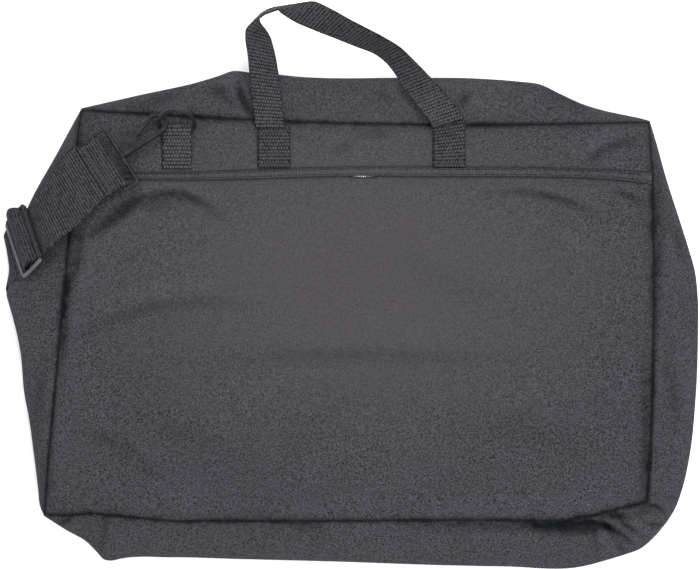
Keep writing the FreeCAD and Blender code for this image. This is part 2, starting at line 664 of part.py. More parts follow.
def back_run():
    """Doubled webbing from the slide, round the left edge and under the bag to the rear loop."""
    thick = 2 * WEB + 0.2
    flat = thick / 2 + 0.1
    angle = math.radians(REAR_HOOK_TURN)
    across = Vector(math.sin(angle), -math.cos(angle), 0)
    points = [on_slide(SLIDE_END + 1.0, -BAR_UNDER - 1.2), beside_slide(-12.3, -19.3, 6.0),
              beside_slide(-11.8, -22.3, 3.2), beside_slide(-5.8, -23.3, flat), beside_slide(11.2, -21.8, flat),
              from_loop(REAR_HOOK_AT, REAR_HOOK_TURN, FOLD_END - 70, flat - REAR_HOOK_AT.z),
              from_loop(REAR_HOOK_AT, REAR_HOOK_TURN, FOLD_END - 34, flat - REAR_HOOK_AT.z),
              from_loop(REAR_HOOK_AT, REAR_HOOK_TURN, FOLD_END - 1.2, 0)]
    acrosses = [SLIDE_ACROSS, Vector(0.12, -0.985, 0.12), Vector(0.06, -0.99, 0.03), Vector(0, -1, 0)]
    acrosses += [across] * 4
    return ribbon_along(points, acrosses, STRAP_WIDTH, thick)


# ---- Carrying handle -------------------------------------------------------------------------
HANDLE_LEFT_X = -67.5
HANDLE_RIGHT_X = 88.0
PATCH_LOW = ZIP_Y + PATCH_UP
PATCH_HIGH = PATCH_LOW + 33.0
HANDLE_RISE = 3.6            # loop's first station above the patches
# loop stations: centre from the patches' upper edge and width direction, up the left leg,
# over the twisted top and down
HANDLE_LOOP = [
    (Vector(-67.5, 2.0, 0.0), Vector(1, 0, 0)),
    (Vector(-69.0, 12.5, 0.8), Vector(1, 0, 0)),
    (Vector(-72.0, 24.4, 2.6), Vector(1, 0, 0)),
    (Vector(-76.8, 51.0, 6.5), Vector(1, 0, 0)),
    (Vector(-78.5, 76.0, 9.0), Vector(1, 0.05, 0.05)),
    (Vector(-77.0, 92.0, 11.0), Vector(0.75, 0.2, 0.6)),
    (Vector(-66.0, 101.5, 12.0), Vector(0.15, 0.35, 0.93)),
    (Vector(-46.0, 103.5, 11.0), Vector(0.3, 0.6, 0.75)),
    (Vector(-15.0, 93.0, 9.0), Vector(0.3, 0.6, 0.74)),
    (Vector(18.0, 79.5, 8.0), Vector(0.3, 0.5, 0.8)),
    (Vector(42.0, 64.5, 7.0), Vector(0.6, 0.5, 0.62)),
    (Vector(57.0, 47.5, 5.5), Vector(1, 0.15, 0.1)),
    (Vector(69.5, 30.0, 3.0), Vector(1, 0.1, 0)),
    (Vector(83.5, 12.5, 0.8), Vector(1, 0.08, 0)),
    (Vector(88.0, 2.0, 0.0), Vector(1, 0, 0)),
]


def handle_patch(x):
    """Sewn end of the handle, on the yoke."""
    points = []
    for share in (0.0, 0.5, 1.0):
        y = PATCH_LOW + (PATCH_HIGH - PATCH_LOW) * share
        points.append(Vector(x, y, yoke_height(x, y) + CLOTH_GAP + WEB / 2))
    return ribbon_along(points, [Vector(1, 0, 0)] * 3, HANDLE_WIDTH, WEB)


def handle_loop():
    """Free part of the handle, standing off the top gusset."""
    base = yoke_height(HANDLE_LEFT_X, PATCH_HIGH) + HANDLE_RISE
    points = [centre + Vector(0, PATCH_HIGH, base) for centre, _ in HANDLE_LOOP]
    return ribbon_along(points, [across for _, across in HANDLE_LOOP], HANDLE_WIDTH, WEB)


# ---- Zip pieces --------------------------------------------------------------------------------
def tape(side):
    """Zip tape on one side of the middle line, 1 above it or -1 below."""
    near, far = ZIP_Y + side * COIL_GAP, ZIP_Y + side * (COIL_GAP + TAPE_WIDTH)
    return block(ZIP_LEFT, ZIP_RIGHT, min(near, far), max(near, far), TAPE_TOP - TAPE_THICK, TAPE_TOP)


def coil(side):
    """Row of zip teeth along a tape's edge."""
    near, far = ZIP_Y + side * COIL_GAP, ZIP_Y + side * (COIL_GAP + COIL_WIDTH)
    low = TAPE_TOP + 0.02
    start, end = ZIP_LEFT + STOP_LENGTH + 1, ZIP_RIGHT - STOP_LENGTH - 1
    return block(start, end, min(near, far), max(near, far), low, low + COIL_HEIGHT)


def stops():
    """Metal stops clamped on the tapes at both ends of the teeth."""
    pieces = []
    low = TAPE_TOP + 0.02
    for start in (ZIP_LEFT + 0.5, ZIP_RIGHT - STOP_LENGTH - 0.5):
        for side in (-1, 1):
            near, far = ZIP_Y + side * 0.4, ZIP_Y + side * (COIL_GAP + COIL_WIDTH)
            pieces.append(block(start, start + STOP_LENGTH, min(near, far), max(near, far), low, low + 1.6))
    return Part.makeCompound(pieces)


PLATE_LOW = TAPE_TOP + 0.02 + COIL_HEIGHT + SLIDER_CLEAR
PULL_AXIS_Z = PLATE_LOW + SLIDER_PLATE + PULL_EYE_R + 0.15
PULL_AXIS_Y = ZIP_Y - 0.6


def slider():
    """Slider: plates over and under the tapes, joined by a post between the teeth."""
    half, side = SLIDER_LENGTH / 2, SLIDER_WIDTH / 2
    under_top = TAPE_TOP - TAPE_THICK - SLIDER_CLEAR
    left, right = SLIDER_X - half, SLIDER_X + half
    top = block(left, right, ZIP_Y - side, ZIP_Y + side, PLATE_LOW, PLATE_LOW + SLIDER_PLATE)
    under = block(left, right, ZIP_Y - side, ZIP_Y + side, under_top - SLIDER_PLATE, under_top)
    post = block(SLIDER_X - 2.5, SLIDER_X + 2.5, ZIP_Y - POST / 2, ZIP_Y + POST / 2,
                 under_top - 0.1, PLATE_LOW + 0.1)
    pieces = [under, post]
    for sign in (-1, 1):
        x = SLIDER_X + sign * 2.9
        pieces.append(block(x - 0.6, x + 0.6, PULL_AXIS_Y - 1.0, PULL_AXIS_Y + 1.0,
                            PLATE_LOW + 0.4, PULL_AXIS_Z + 0.9))
    pin = rod(Vector(SLIDER_X - 2.9, PULL_AXIS_Y, PULL_AXIS_Z),
              Vector(SLIDER_X + 2.9, PULL_AXIS_Y, PULL_AXIS_Z), PULL_PIN_R)
    return top.fuse(pieces + [pin]).removeSplitter()


def pull():
    """Pull tab with its eye on the slider's pin, lying towards the front panel."""
    axis_start = Vector(SLIDER_X - 1.9, PULL_AXIS_Y, PULL_AXIS_Z)
    eye = Part.makeCylinder(PULL_EYE_R, 3.8, axis_start, Vector(1, 0, 0))
    neck = block(SLIDER_X - 1.9, SLIDER_X + 1.9, PULL_AXIS_Y - 5, PULL_AXIS_Y, PULL_AXIS_Z - PULL_THICK / 2,
                 PULL_AXIS_Z + PULL_THICK / 2)
    blade = block(SLIDER_X - PULL_WIDTH / 2, SLIDER_X + PULL_WIDTH / 2, PULL_AXIS_Y - PULL_LENGTH,
                  PULL_AXIS_Y - 4.5, PULL_AXIS_Z - PULL_THICK / 2, PULL_AXIS_Z + PULL_THICK / 2)
    hole = Part.makeCylinder(PULL_PIN_R + PULL_CLEAR, 6, axis_start - Vector(1, 0, 0), Vector(1, 0, 0))
    return eye.fuse([neck, blade]).cut(hole).removeSplitter()


def flap():
    """Strip of turned cloth that laps over the zip."""
    root, shoulder, edge = YOKE_EDGE_Y - SEAT, YOKE_EDGE_Y - 3.0, ZIP_Y - FLAP_REACH
    columns = []
    for x in (ZIP_LEFT, ZIP_LEFT * 0.5, 0.0, ZIP_RIGHT * 0.5, ZIP_RIGHT):
        outer = [Vector(x, root, YOKE_EDGE_Z), Vector(x, shoulder, FLAP_TOP), Vector(x, edge, FLAP_TOP)]
        columns.append((outer, [p - Vector(0, 0, CLOTH) for p in outer]))
    return sheet_solid(columns)


# ---- Every piece -----------------------------------------------------------------------------
def make_bag(pieces):
    """Cloth panels, gussets, bindings, zip and handle."""
    panel_edge = TAPE_TOP + SEAT + SKIN
    yoke_edge = zip_line(YOKE_EDGE_Y, YOKE_EDGE_Z)
    pieces["front_yoke"] = face_panel(seam_line("top", False), yoke_edge, YOKE_PLATEAU)
    upper_edge = zip_line(ZIP_Y - PANEL_REACH, panel_edge)
    pieces["front_panel"] = face_panel(upper_edge, seam_line("bottom", True), CROWN)
    pieces["back_panel"] = back_panel()
    pieces["zip_flap"] = flap()
    for side in SIDES:
        pieces[side + "_gusset"] = gusset(side)
        pieces["front_binding_" + side] = binding(side, True)
        pieces["back_binding_" + side] = binding(side, False)
    pieces["upper_zip_tape"], pieces["lower_zip_tape"] = tape(1), tape(-1)
    pieces["upper_zip_teeth"], pieces["lower_zip_teeth"] = coil(1), coil(-1)
    pieces["zip_stops"] = stops()
    pieces["zip_slider"] = slider()
    pieces["zip_pull"] = pull()
    pieces["handle_left_end"] = handle_patch(HANDLE_LEFT_X)
    pieces["handle_right_end"] = handle_patch(HANDLE_RIGHT_X)
    pieces["handle_loop"] = handle_loop()


def make_hook_set(pieces, name, at_hook, turn, roll):
    """One snap hook with its swivel loop, gate, pin and spring."""
    pieces[name + "_hook_loop"] = placed(hook_loop(LOOP_WIDTH), turn, 0, at_hook)
    pieces[name + "_hook_body"] = placed(hook_body(), turn, roll, at_hook)
    pieces[name + "_hook_gate"] = placed(hook_gate(), turn, roll, at_hook)
    pieces[name + "_gate_pin"] = placed(gate_pin(), turn, roll, at_hook)
    pieces[name + "_gate_spring"] = placed(gate_spring(), turn, roll, at_hook)


def make_strap(pieces):
    """Rings, tabs, hooks, slide and webbing of the shoulder strap."""
    pieces["front_ring_tab"] = tab(RING_AT, TAB_LOW, lambda y: yoke_height(RING_X, y), 1)
    pieces["rear_ring_tab"] = tab(REAR_RING_AT, REAR_TAB_LOW, lambda y: RIM_Z + HOOK_LIFT - 0.6, -1)
    pieces["front_ring"] = hung(d_ring(), RING_LEAN, RING_AT)
    pieces["rear_ring"] = hung(d_ring(), REAR_RING_LEAN, REAR_RING_AT)
    make_hook_set(pieces, "front", HOOK_AT, HOOK_TURN, HOOK_ROLL)
    make_hook_set(pieces, "rear", REAR_HOOK_AT, REAR_HOOK_TURN, REAR_HOOK_ROLL)
    pieces["strap_slide"] = slide_adjuster()
    pieces["strap_front_fold"] = loop_fold(HOOK_AT, HOOK_TURN)
    pieces["strap_front_run"] = front_run()
    pieces["strap_sewn_end"] = sewn_end()
    pieces["strap_back_run"] = back_run()
    pieces["strap_back_fold"] = loop_fold(REAR_HOOK_AT, REAR_HOOK_TURN)


def main():
    """Build every piece and write one file for each."""
    os.makedirs("parts", exist_ok=True)
    pieces = {}
    make_bag(pieces)
    make_strap(pieces)
    for name, shape in pieces.items():
        if not shape.isValid() or shape.Volume <= 0:
            print("check", name, shape.isValid(), shape.Volume)
        shape.exportStep("parts/" + name + ".step")
    box = Part.makeCompound(list(pieces.values())).BoundBox
    sizes = (box.XMin, box.XMax, box.YMin, box.YMax, box.ZMin, box.ZMax)
    print(len(pieces), "pieces, box", [round(v, 1) for v in sizes])
    print("hooks at", HOOK_AT, REAR_HOOK_AT, "rings at", RING_AT, REAR_RING_AT)


main()
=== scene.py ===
"""Looks of a flat carrying bag for a folding stand: cloth, seams, zip, webbing and fittings.

Metres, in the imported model's own frame: +Z up out of the front face, +Y to the handle edge
and +X to the right. The origin is the middle of the footprint, on the surface under the bag.
"""

import json
import logging
import math
from dataclasses import dataclass
from enum import Enum

import bpy
import numpy as np
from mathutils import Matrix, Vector

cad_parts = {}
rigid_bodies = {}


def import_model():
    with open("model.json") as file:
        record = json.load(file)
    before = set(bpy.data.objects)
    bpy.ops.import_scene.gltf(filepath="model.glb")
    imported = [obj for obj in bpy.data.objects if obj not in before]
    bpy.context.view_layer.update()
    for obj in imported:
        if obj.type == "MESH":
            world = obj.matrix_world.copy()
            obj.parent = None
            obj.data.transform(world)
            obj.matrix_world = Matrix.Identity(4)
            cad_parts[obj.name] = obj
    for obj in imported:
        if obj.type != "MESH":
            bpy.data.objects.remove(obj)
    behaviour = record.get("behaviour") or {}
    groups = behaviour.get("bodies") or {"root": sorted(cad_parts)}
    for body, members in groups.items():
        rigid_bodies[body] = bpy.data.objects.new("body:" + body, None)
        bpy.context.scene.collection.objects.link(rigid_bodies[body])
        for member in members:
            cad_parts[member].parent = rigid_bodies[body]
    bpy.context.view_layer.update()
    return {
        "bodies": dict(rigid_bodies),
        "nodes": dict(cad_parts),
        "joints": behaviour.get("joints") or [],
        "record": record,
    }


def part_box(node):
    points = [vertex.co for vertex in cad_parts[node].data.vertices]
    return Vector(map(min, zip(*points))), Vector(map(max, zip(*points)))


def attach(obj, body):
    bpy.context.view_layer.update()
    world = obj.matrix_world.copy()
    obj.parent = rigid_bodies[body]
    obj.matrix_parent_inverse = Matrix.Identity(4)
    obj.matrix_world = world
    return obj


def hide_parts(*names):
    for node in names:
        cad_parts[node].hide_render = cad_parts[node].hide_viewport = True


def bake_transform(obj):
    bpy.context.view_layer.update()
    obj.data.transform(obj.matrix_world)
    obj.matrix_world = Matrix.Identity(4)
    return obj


LOG = logging.getLogger("carrying_bag")
MM = 0.001
WAVE_TURN = 2 * math.pi / 20.0  # spacing of a wave texture's bands at a scale of 1

Line = np.ndarray  # points in rows
Grid = np.ndarray  # rows of points


# ---- Small sums ---------------------------------------------------------------------------
def clamp(value: np.ndarray) -> np.ndarray:
    """Value kept between 0 and 1."""
    return np.clip(value, 0.0, 1.0)


def ease(value: np.ndarray) -> np.ndarray:
    """Soft rise from 0 to 1."""
    v = clamp(value)
    return v * v * (3 - 2 * v)


def even(count: int) -> np.ndarray:
    """Even shares from 0 to 1."""
    return np.linspace(0.0, 1.0, count)


def unit(rows: np.ndarray) -> np.ndarray:
    """Each row at length 1."""
    return rows / np.maximum(np.linalg.norm(rows, axis=-1, keepdims=True), 1e-12)


def mm(points: tuple) -> Line:
    """Given millimetre points as an array in metres."""
    return np.array(points, float) * MM


def smooth_through(points: Line, shares: np.ndarray) -> Line:
    """Points on a soft line through given points.

    Args:
        points: the given points, in order.
        shares: where along the line's length each new point lies, from 0 to 1.

    Returns:
        One point for each share.
    """
    at = np.concatenate([[0.0], np.cumsum(np.linalg.norm(np.diff(points, axis=0), axis=1))])
    slope = np.gradient(points, at, axis=0)
    fine = []
    for i in range(len(points) - 1):
        s, gap = np.linspace(0, 1, 12, endpoint=False)[:, None], at[i + 1] - at[i]
        fine.append((2 * s**3 - 3 * s**2 + 1) * points[i] + (s**3 - 2 * s**2 + s) * gap * slope[i]
                    + (3 * s**2 - 2 * s**3) * points[i + 1] + (s**3 - s**2) * gap * slope[i + 1])
    run = np.vstack(fine + [points[-1:]])
    length = np.concatenate([[0.0], np.cumsum(np.linalg.norm(np.diff(run, axis=0), axis=1))])
    return np.stack([np.interp(shares * length[-1], length, run[:, k]) for k in range(run.shape[1])], axis=1)


def mottle(x: np.ndarray, y: np.ndarray, size: float, seed: int) -> np.ndarray:
    """Smooth seeded unevenness over a plane.

    Args:
        x: first coordinate of each point, in metres.
        y: second coordinate of each point, in metres.
        size: width of one lump, in metres.
        seed: which pattern.

    Returns:
        A value from -1 to 1 for each point.
    """
    table = np.random.default_rng(seed).uniform(-1, 1, (64, 64))
    gx, gy = x / size + 17.3, y / size + 9.1
    ix, iy = np.floor(gx).astype(int), np.floor(gy).astype(int)
    fx, fy = ease(gx - ix), ease(gy - iy)
    a, b = table[ix % 64, iy % 64], table[(ix + 1) % 64, iy % 64]
    c, d = table[ix % 64, (iy + 1) % 64], table[(ix + 1) % 64, (iy + 1) % 64]
    return (a * (1 - fx) + b * fx) * (1 - fy) + (c * (1 - fx) + d * fx) * fy


# ---- Meshes ---------------------------------------------------------------------------------
class Build:
    """Turns rows of points into pieces."""

    @staticmethod
    def piece(name: str, verts: np.ndarray, faces: list, finish: bpy.types.Material,
              painted_shading: np.ndarray | None = None, uv: np.ndarray | None = None) -> bpy.types.Object:
        """One mesh object.

        Args:
            name: the piece's name.
            verts: its points.
            faces: its faces, as rows of point numbers.
            finish: its material.
            painted_shading: from -1, painted shade in a crease or along a seam, to 1, painted highlight on a
                swell, hem or fold, for each point.
            uv: distance across and along the piece for each point, in metres.

        Returns:
            The new object, linked to the scene.
        """
        mesh = bpy.data.meshes.new(name)
        mesh.from_pydata([tuple(v) for v in verts], [], [tuple(int(i) for i in f) for f in faces])
        mesh.materials.append(finish)
        mesh.polygons.foreach_set("use_smooth", [True] * len(mesh.polygons))
        if painted_shading is None:
            painted_shading = np.zeros(len(verts))
        mesh.attributes.new("painted_shading", "FLOAT", "POINT").data.foreach_set("value", painted_shading.astype(np.float32))
        if uv is not None:
            corner = np.empty(len(mesh.loops), np.int32)
            mesh.loops.foreach_get("vertex_index", corner)
            mesh.uv_layers.new(name="run").data.foreach_set("uv", uv[corner].astype(np.float32).ravel())
        mesh.update()
        obj = bpy.data.objects.new(name, mesh)
        bpy.context.scene.collection.objects.link(obj)
        return obj

    @staticmethod
    def grid_faces(rows: int, cols: int, wrap: bool = False, start: int = 0) -> list:
        """Quads over a grid of points.

        Args:
            rows: how many rows the grid has.
            cols: how many points are in a row.
            wrap: whether each row closes on itself.
            start: number of the grid's first point.

        Returns:
            The quads.
        """
        faces = []
        for i in range(rows - 1):
            for j in range(cols if wrap else cols - 1):
                k = (j + 1) % cols
                faces.append((start + i * cols + j, start + (i + 1) * cols + j,
                              start + (i + 1) * cols + k, start + i * cols + k))
        return faces

    @classmethod
    def sheet(cls, name: str, grid: Grid, finish: bpy.types.Material,
              painted_shading: np.ndarray | None = None) -> bpy.types.Object:
        """A single skin of cloth over a grid of points.

        Args:
            name: the piece's name.
            grid: its points.
            finish: its material.
            painted_shading: painted shade and painted highlight for each point.

        Returns:
            The new object.
        """
        rows, cols = grid.shape[:2]
        flat_shading = None if painted_shading is None else painted_shading.ravel()
        return cls.piece(name, grid.reshape(-1, 3), cls.grid_faces(rows, cols), finish, flat_shading)

    @classmethod
    def loft(cls, name: str, rings: Grid, finish: bpy.types.Material, painted_shading: np.ndarray | None = None,
             uv: np.ndarray | None = None, close: bool = False) -> bpy.types.Object:
        """A skin through closed rings of points, with its two ends capped or joined.

        Args:
            name: the piece's name.
            rings: the rings, in order.
            finish: its material.
            painted_shading: painted shade and painted highlight for each point.
            uv: distance across and along for each point.
            close: whether the last ring joins the first.

        Returns:
            The new object.
        """
        count, cols = rings.shape[:2]
        faces = cls.grid_faces(count, cols, wrap=True)
        if close:
            last = (count - 1) * cols
            faces += [(last + j, j, (j + 1) % cols, last + (j + 1) % cols) for j in range(cols)]
        else:
            faces += [tuple(range(cols)), tuple(reversed(range((count - 1) * cols, count * cols)))]
        flat_shading = None if painted_shading is None else painted_shading.ravel()
        flat_uv = None if uv is None else uv.reshape(-1, 2)
        return cls.piece(name, rings.reshape(-1, 3), faces, finish, flat_shading, flat_uv)

    @classmethod
    def tube(cls, name: str, path: Line, radius: float, finish: bpy.types.Material,
             sides: int = 10, close: bool = False, flatten: float = 1.0) -> bpy.types.Object:
        """A round or flattened bar that follows a path."""
        rings = cls.rings(path, radius, sides, close, flatten)
        return cls.loft(name, rings, finish, close=close)

    @staticmethod
    def rings(path: Line, radius: float, sides: int, close: bool, flatten: float = 1.0) -> Grid:
        """Rings of points round a path.

        Args:
            path: the middle line.
            radius: half the bar's width.
            sides: points in a ring.
            close: whether the path joins its own start.
            flatten: height over width.

        Returns:
            The rings.
        """
        ahead = np.roll(path, -1, axis=0) if close else np.vstack([path[1:], path[-1:]])
        behind = np.roll(path, 1, axis=0) if close else np.vstack([path[:1], path[:-1]])
        run = unit(ahead - behind)
        up = np.tile([0.0, 0.0, 1.0], (len(path), 1))
        up[np.abs(run[:, 2]) > 0.9] = [0.0, 1.0, 0.0]
        side = unit(np.cross(run, up))
        up = np.cross(side, run)
        angle = np.linspace(0, 2 * math.pi, sides, endpoint=False)
        return (path[:, None] + side[:, None] * (radius * np.cos(angle))[None, :, None]
                + up[:, None] * (radius * flatten * np.sin(angle))[None, :, None])


# ---- Finishes -------------------------------------------------------------------------------
class NodeBoard:
    """One procedural material while its nodes are laid out."""

    def __init__(self, name: str) -> None:
        """Start an empty material that has only its shader.

        Args:
            name: the material's name.
        """
        self.material = bpy.data.materials.new(name)
        self.material.use_nodes = True
        self.tree = self.material.node_tree
        self.shader = self.tree.nodes["Principled BSDF"]

    def add(self, kind: str, **settings: object) -> bpy.types.Node:
        """Add a node and set its own settings or the sockets of those names.

        Args:
            kind: the node's type.
            settings: values for its own settings or its sockets.

        Returns:
            The node.
        """
        node = self.tree.nodes.new(kind)
        for key, value in settings.items():
            if hasattr(node, key):
                setattr(node, key, value)
            else:
                node.inputs[key.replace("_", " ").title()].default_value = value
        return node

    def link(self, source: bpy.types.NodeSocket, target: bpy.types.NodeSocket) -> None:
        """Join two sockets."""
        self.tree.links.new(source, target)

    def noise(self, where: bpy.types.NodeSocket, scale: float, detail: float = 2.0,
              rough: float = 0.5) -> bpy.types.NodeSocket:
        """Three-way noise at a scale per metre.

        Args:
            where: position of each point.
            scale: lumps per metre.
            detail: how many finer layers lie on it.
            rough: strength of the finer layers.

        Returns:
            The output socket.
        """
        node = self.add("ShaderNodeTexNoise", scale=scale, detail=detail, roughness=rough)
        self.link(where, node.inputs["Vector"])
        return node.outputs["Fac"]

    def stretch(self, source: bpy.types.NodeSocket, low: float, high: float, to_low: float,
                to_high: float) -> bpy.types.NodeSocket:
        """Map one range of values on another, clamped.

        Args:
            source: the values.
            low: value that becomes to_low.
            high: value that becomes to_high.
            to_low: lower end of the new range.
            to_high: upper end of the new range.

        Returns:
            The output socket.
        """
        node = self.add("ShaderNodeMapRange")
        for key, value in (("From Min", low), ("From Max", high), ("To Min", to_low), ("To Max", to_high)):
            node.inputs[key].default_value = value
        self.link(source, node.inputs["Value"])
        return node.outputs["Result"]

    def sum(self, operation: str, a: bpy.types.NodeSocket,
            b: bpy.types.NodeSocket | float) -> bpy.types.NodeSocket:
        """One sum of two values.

        Args:
            operation: what is done with them.
            a: first value.
            b: second value, a socket or a plain number.

        Returns:
            The output socket.
        """
        node = self.add("ShaderNodeMath", operation=operation)
        self.link(a, node.inputs[0])
        if isinstance(b, float):
            node.inputs[1].default_value = b
        else:
            self.link(b, node.inputs[1])
        return node.outputs[0]

    def blend(self, share: bpy.types.NodeSocket | float, a: tuple | bpy.types.NodeSocket,
              b: tuple | bpy.types.NodeSocket, kind: str = "MIX") -> bpy.types.NodeSocket:
        """Mix two colours by a share.

        Args:
            share: how much of the second colour.
            a: first colour.
            b: second colour.
            kind: how they mix.

        Returns:
            The output socket.
        """
        node = self.add("ShaderNodeMix", data_type="RGBA", blend_type=kind)
        if isinstance(share, float):
            node.inputs["Factor"].default_value = share
        else:
            self.link(share, node.inputs["Factor"])
        for value, socket in ((a, node.inputs[6]), (b, node.inputs[7])):
            if isinstance(value, tuple):
                socket.default_value = (*value, 1.0)
            else:
                self.link(value, socket)
        return node.outputs[2]

    def relief(self, height: bpy.types.NodeSocket, strength: float, distance: float) -> None:
        """Bump the surface by a height.

        Args:
            height: the height.
            strength: how much of it shows.
            distance: its real depth, in metres.
        """
        node = self.add("ShaderNodeBump")
        node.inputs["Strength"].default_value = strength
        node.inputs["Distance"].default_value = distance
        self.link(height, node.inputs["Height"])
        self.link(node.outputs["Normal"], self.shader.inputs["Normal"])

    def set(self, **values: float) -> None:
        """Set plain values on the shader's own sockets."""
        for key, value in values.items():
            self.shader.inputs[key.replace("_", " ").title().replace("Ior", "IOR")].default_value = value


@dataclass(frozen=True)
class WovenCloth:
    """Dull woven nylon: fine speckle, faint weave, soft patches, painted shade in its creases and along its
    seams, painted highlight on its swells.
    """

    name: str
    colour: tuple
    highlight_tone: tuple
    dark: tuple
    speckle: float = 0.8
    weave_pitch: float = 0.0011
    # centre and reach of the painted highlight in the middle of the face
    middle: tuple = (0.01, 0.015)
    highlight_reach: tuple = (0.27, 0.19)

    def make(self) -> bpy.types.Material:
        """Lay out the material.

        Returns:
            The material.
        """
        board = NodeBoard(self.name)
        where = board.add("ShaderNodeTexCoord").outputs["Object"]
        grain = board.stretch(board.noise(where, 960.0, 2.0, 0.75), 0.35, 0.65, 0.0, 1.0)
        lumps = board.stretch(board.noise(where, 420.0, 2.0, 0.6), 0.36, 0.64, 0.0, 1.0)
        patches = board.stretch(board.noise(where, 16.0, 3.0, 0.55), 0.3, 0.7, 0.0, 0.7)
        # painted highlight: the middle of the face takes the lighter, warmer colour and loses some speckle
        middle = self._highlight_share(board, where)
        base = board.blend(patches, self.colour, tuple(1.16 * c for c in self.colour))
        base = board.blend(middle, base, self.highlight_tone)
        mixed = board.sum("ADD", board.sum("MULTIPLY", grain, 0.78), board.sum("MULTIPLY", lumps, 0.22))
        shade = board.stretch(mixed, 0.12, 0.88, 1.0 - self.speckle, 1.0 + self.speckle)
        tint = board.add("ShaderNodeCombineColor")
        for channel in tint.inputs[:3]:
            board.link(shade, channel)
        rough_share = board.stretch(middle, 0.0, 1.0, 1.0, 0.3)
        base = board.blend(rough_share, base, board.blend(1.0, base, tint.outputs[0], "MULTIPLY"))
        # per-point shading attribute: below 0 mixes in the dark colour as painted shade, above 0 mixes in a
        # lighter colour as painted highlight
        shading_fac = board.add("ShaderNodeAttribute", attribute_name="painted_shading").outputs["Fac"]
        base = board.blend(board.stretch(shading_fac, -1.0, 0.0, 1.0, 0.0), base, self.dark)
        base = board.blend(board.stretch(shading_fac, 0.0, 1.0, 0.0, 0.6), base, tuple(1.9 * c for c in self.colour))
        board.link(base, board.shader.inputs["Base Color"])
        board.link(board.stretch(grain, 0.0, 1.0, 0.8, 0.95), board.shader.inputs["Roughness"])
        weave = board.sum("MULTIPLY", self._weave(board, where), 0.3)
        height = board.sum("ADD", board.sum("MULTIPLY", mixed, 0.7), weave)
        board.relief(height, 0.5, 0.0005)
        board.set(specular_ior_level=0.05, sheen_weight=0.02, sheen_roughness=0.5)
        return board.material

    def _weave(self, board: NodeBoard, where: bpy.types.NodeSocket) -> bpy.types.NodeSocket:
        """Two crossed sets of threads.

        Args:
            board: the material.
            where: position of each point.

        Returns:
            Height of the threads.
        """
        scale = WAVE_TURN / self.weave_pitch
        threads = []
        for direction in ("X", "Y"):
            wave = board.add("ShaderNodeTexWave", bands_direction=direction, wave_profile="SIN")
            wave.inputs["Scale"].default_value = scale
            wave.inputs["Distortion"].default_value = 0.8
            wave.inputs["Detail"].default_value = 1.0
            board.link(where, wave.inputs["Vector"])
            threads.append(wave.outputs["Fac"])
        return board.sum("MULTIPLY", threads[0], threads[1])

    def _highlight_share(self, board: NodeBoard, where: bpy.types.NodeSocket) -> bpy.types.NodeSocket:
        """Share of the painted highlight, a lighter and warmer pool of light in the middle of the face.

        Args:
            board: the material.
            where: position of each point.

        Returns:
            The share, from 0 to 1.
        """
        shift = board.add("ShaderNodeMapping")
        (x, y), (reach_x, reach_y) = self.middle, self.highlight_reach
        shift.inputs["Location"].default_value = (-x / reach_x, -y / reach_y, 0.0)
        shift.inputs["Scale"].default_value = (1 / reach_x, 1 / reach_y, 0.0)
        board.link(where, shift.inputs["Vector"])
        ball = board.add("ShaderNodeTexGradient", gradient_type="SPHERICAL")
        board.link(shift.outputs["Vector"], ball.inputs["Vector"])
        return board.stretch(ball.outputs["Fac"], 0.02, 0.75, 0.0, 1.0)


@dataclass(frozen=True)
class Webbing:
    """Heavy ribbed webbing whose threads follow the band's own length."""

    name: str
    colour: tuple
    pale: tuple
    dark: tuple
    yarn: float = 0.0012

    def make(self) -> bpy.types.Material:
        """Lay out the material.

        Returns:
            The material.
        """
        board = NodeBoard(self.name)
        run = board.add("ShaderNodeTexCoord").outputs["UV"]
        where = board.add("ShaderNodeTexCoord").outputs["Object"]
        grain = board.stretch(board.noise(where, 1500.0, 2.0, 0.7), 0.3, 0.7, 0.0, 1.0)
        lumps = board.stretch(board.noise(where, 420.0, 2.0, 0.6), 0.35, 0.65, 0.0, 1.0)
        wave = board.add("ShaderNodeTexWave", bands_direction="X", wave_profile="SIN")
        wave.inputs["Scale"].default_value = WAVE_TURN / self.yarn
        wave.inputs["Distortion"].default_value = 0.4
        board.link(run, wave.inputs["Vector"])
        base = board.blend(lumps, self.colour, tuple(0.78 * c for c in self.colour))
        base = board.blend(board.sum("MULTIPLY", grain, 0.5), base, self.pale)
        # the shading attribute mixes in the dark colour as painted shade in rib gaps and the pale colour as
        # painted highlight on rib tops
        shading_fac = board.add("ShaderNodeAttribute", attribute_name="painted_shading").outputs["Fac"]
        base = board.blend(board.stretch(shading_fac, -1.0, 0.0, 0.9, 0.0), base, self.dark)
        base = board.blend(board.stretch(shading_fac, 0.0, 1.0, 0.0, 0.75), base, self.pale)
        board.link(base, board.shader.inputs["Base Color"])
        board.link(board.stretch(lumps, 0.0, 1.0, 0.62, 0.85), board.shader.inputs["Roughness"])
        threads = board.sum("MULTIPLY", wave.outputs["Fac"], 0.5)
        height = board.sum("ADD", threads, board.sum("MULTIPLY", grain, 0.4))
        board.relief(height, 0.5, 0.0004)
        board.set(specular_ior_level=0.06, sheen_weight=0.02, sheen_roughness=0.4)
        return board.material


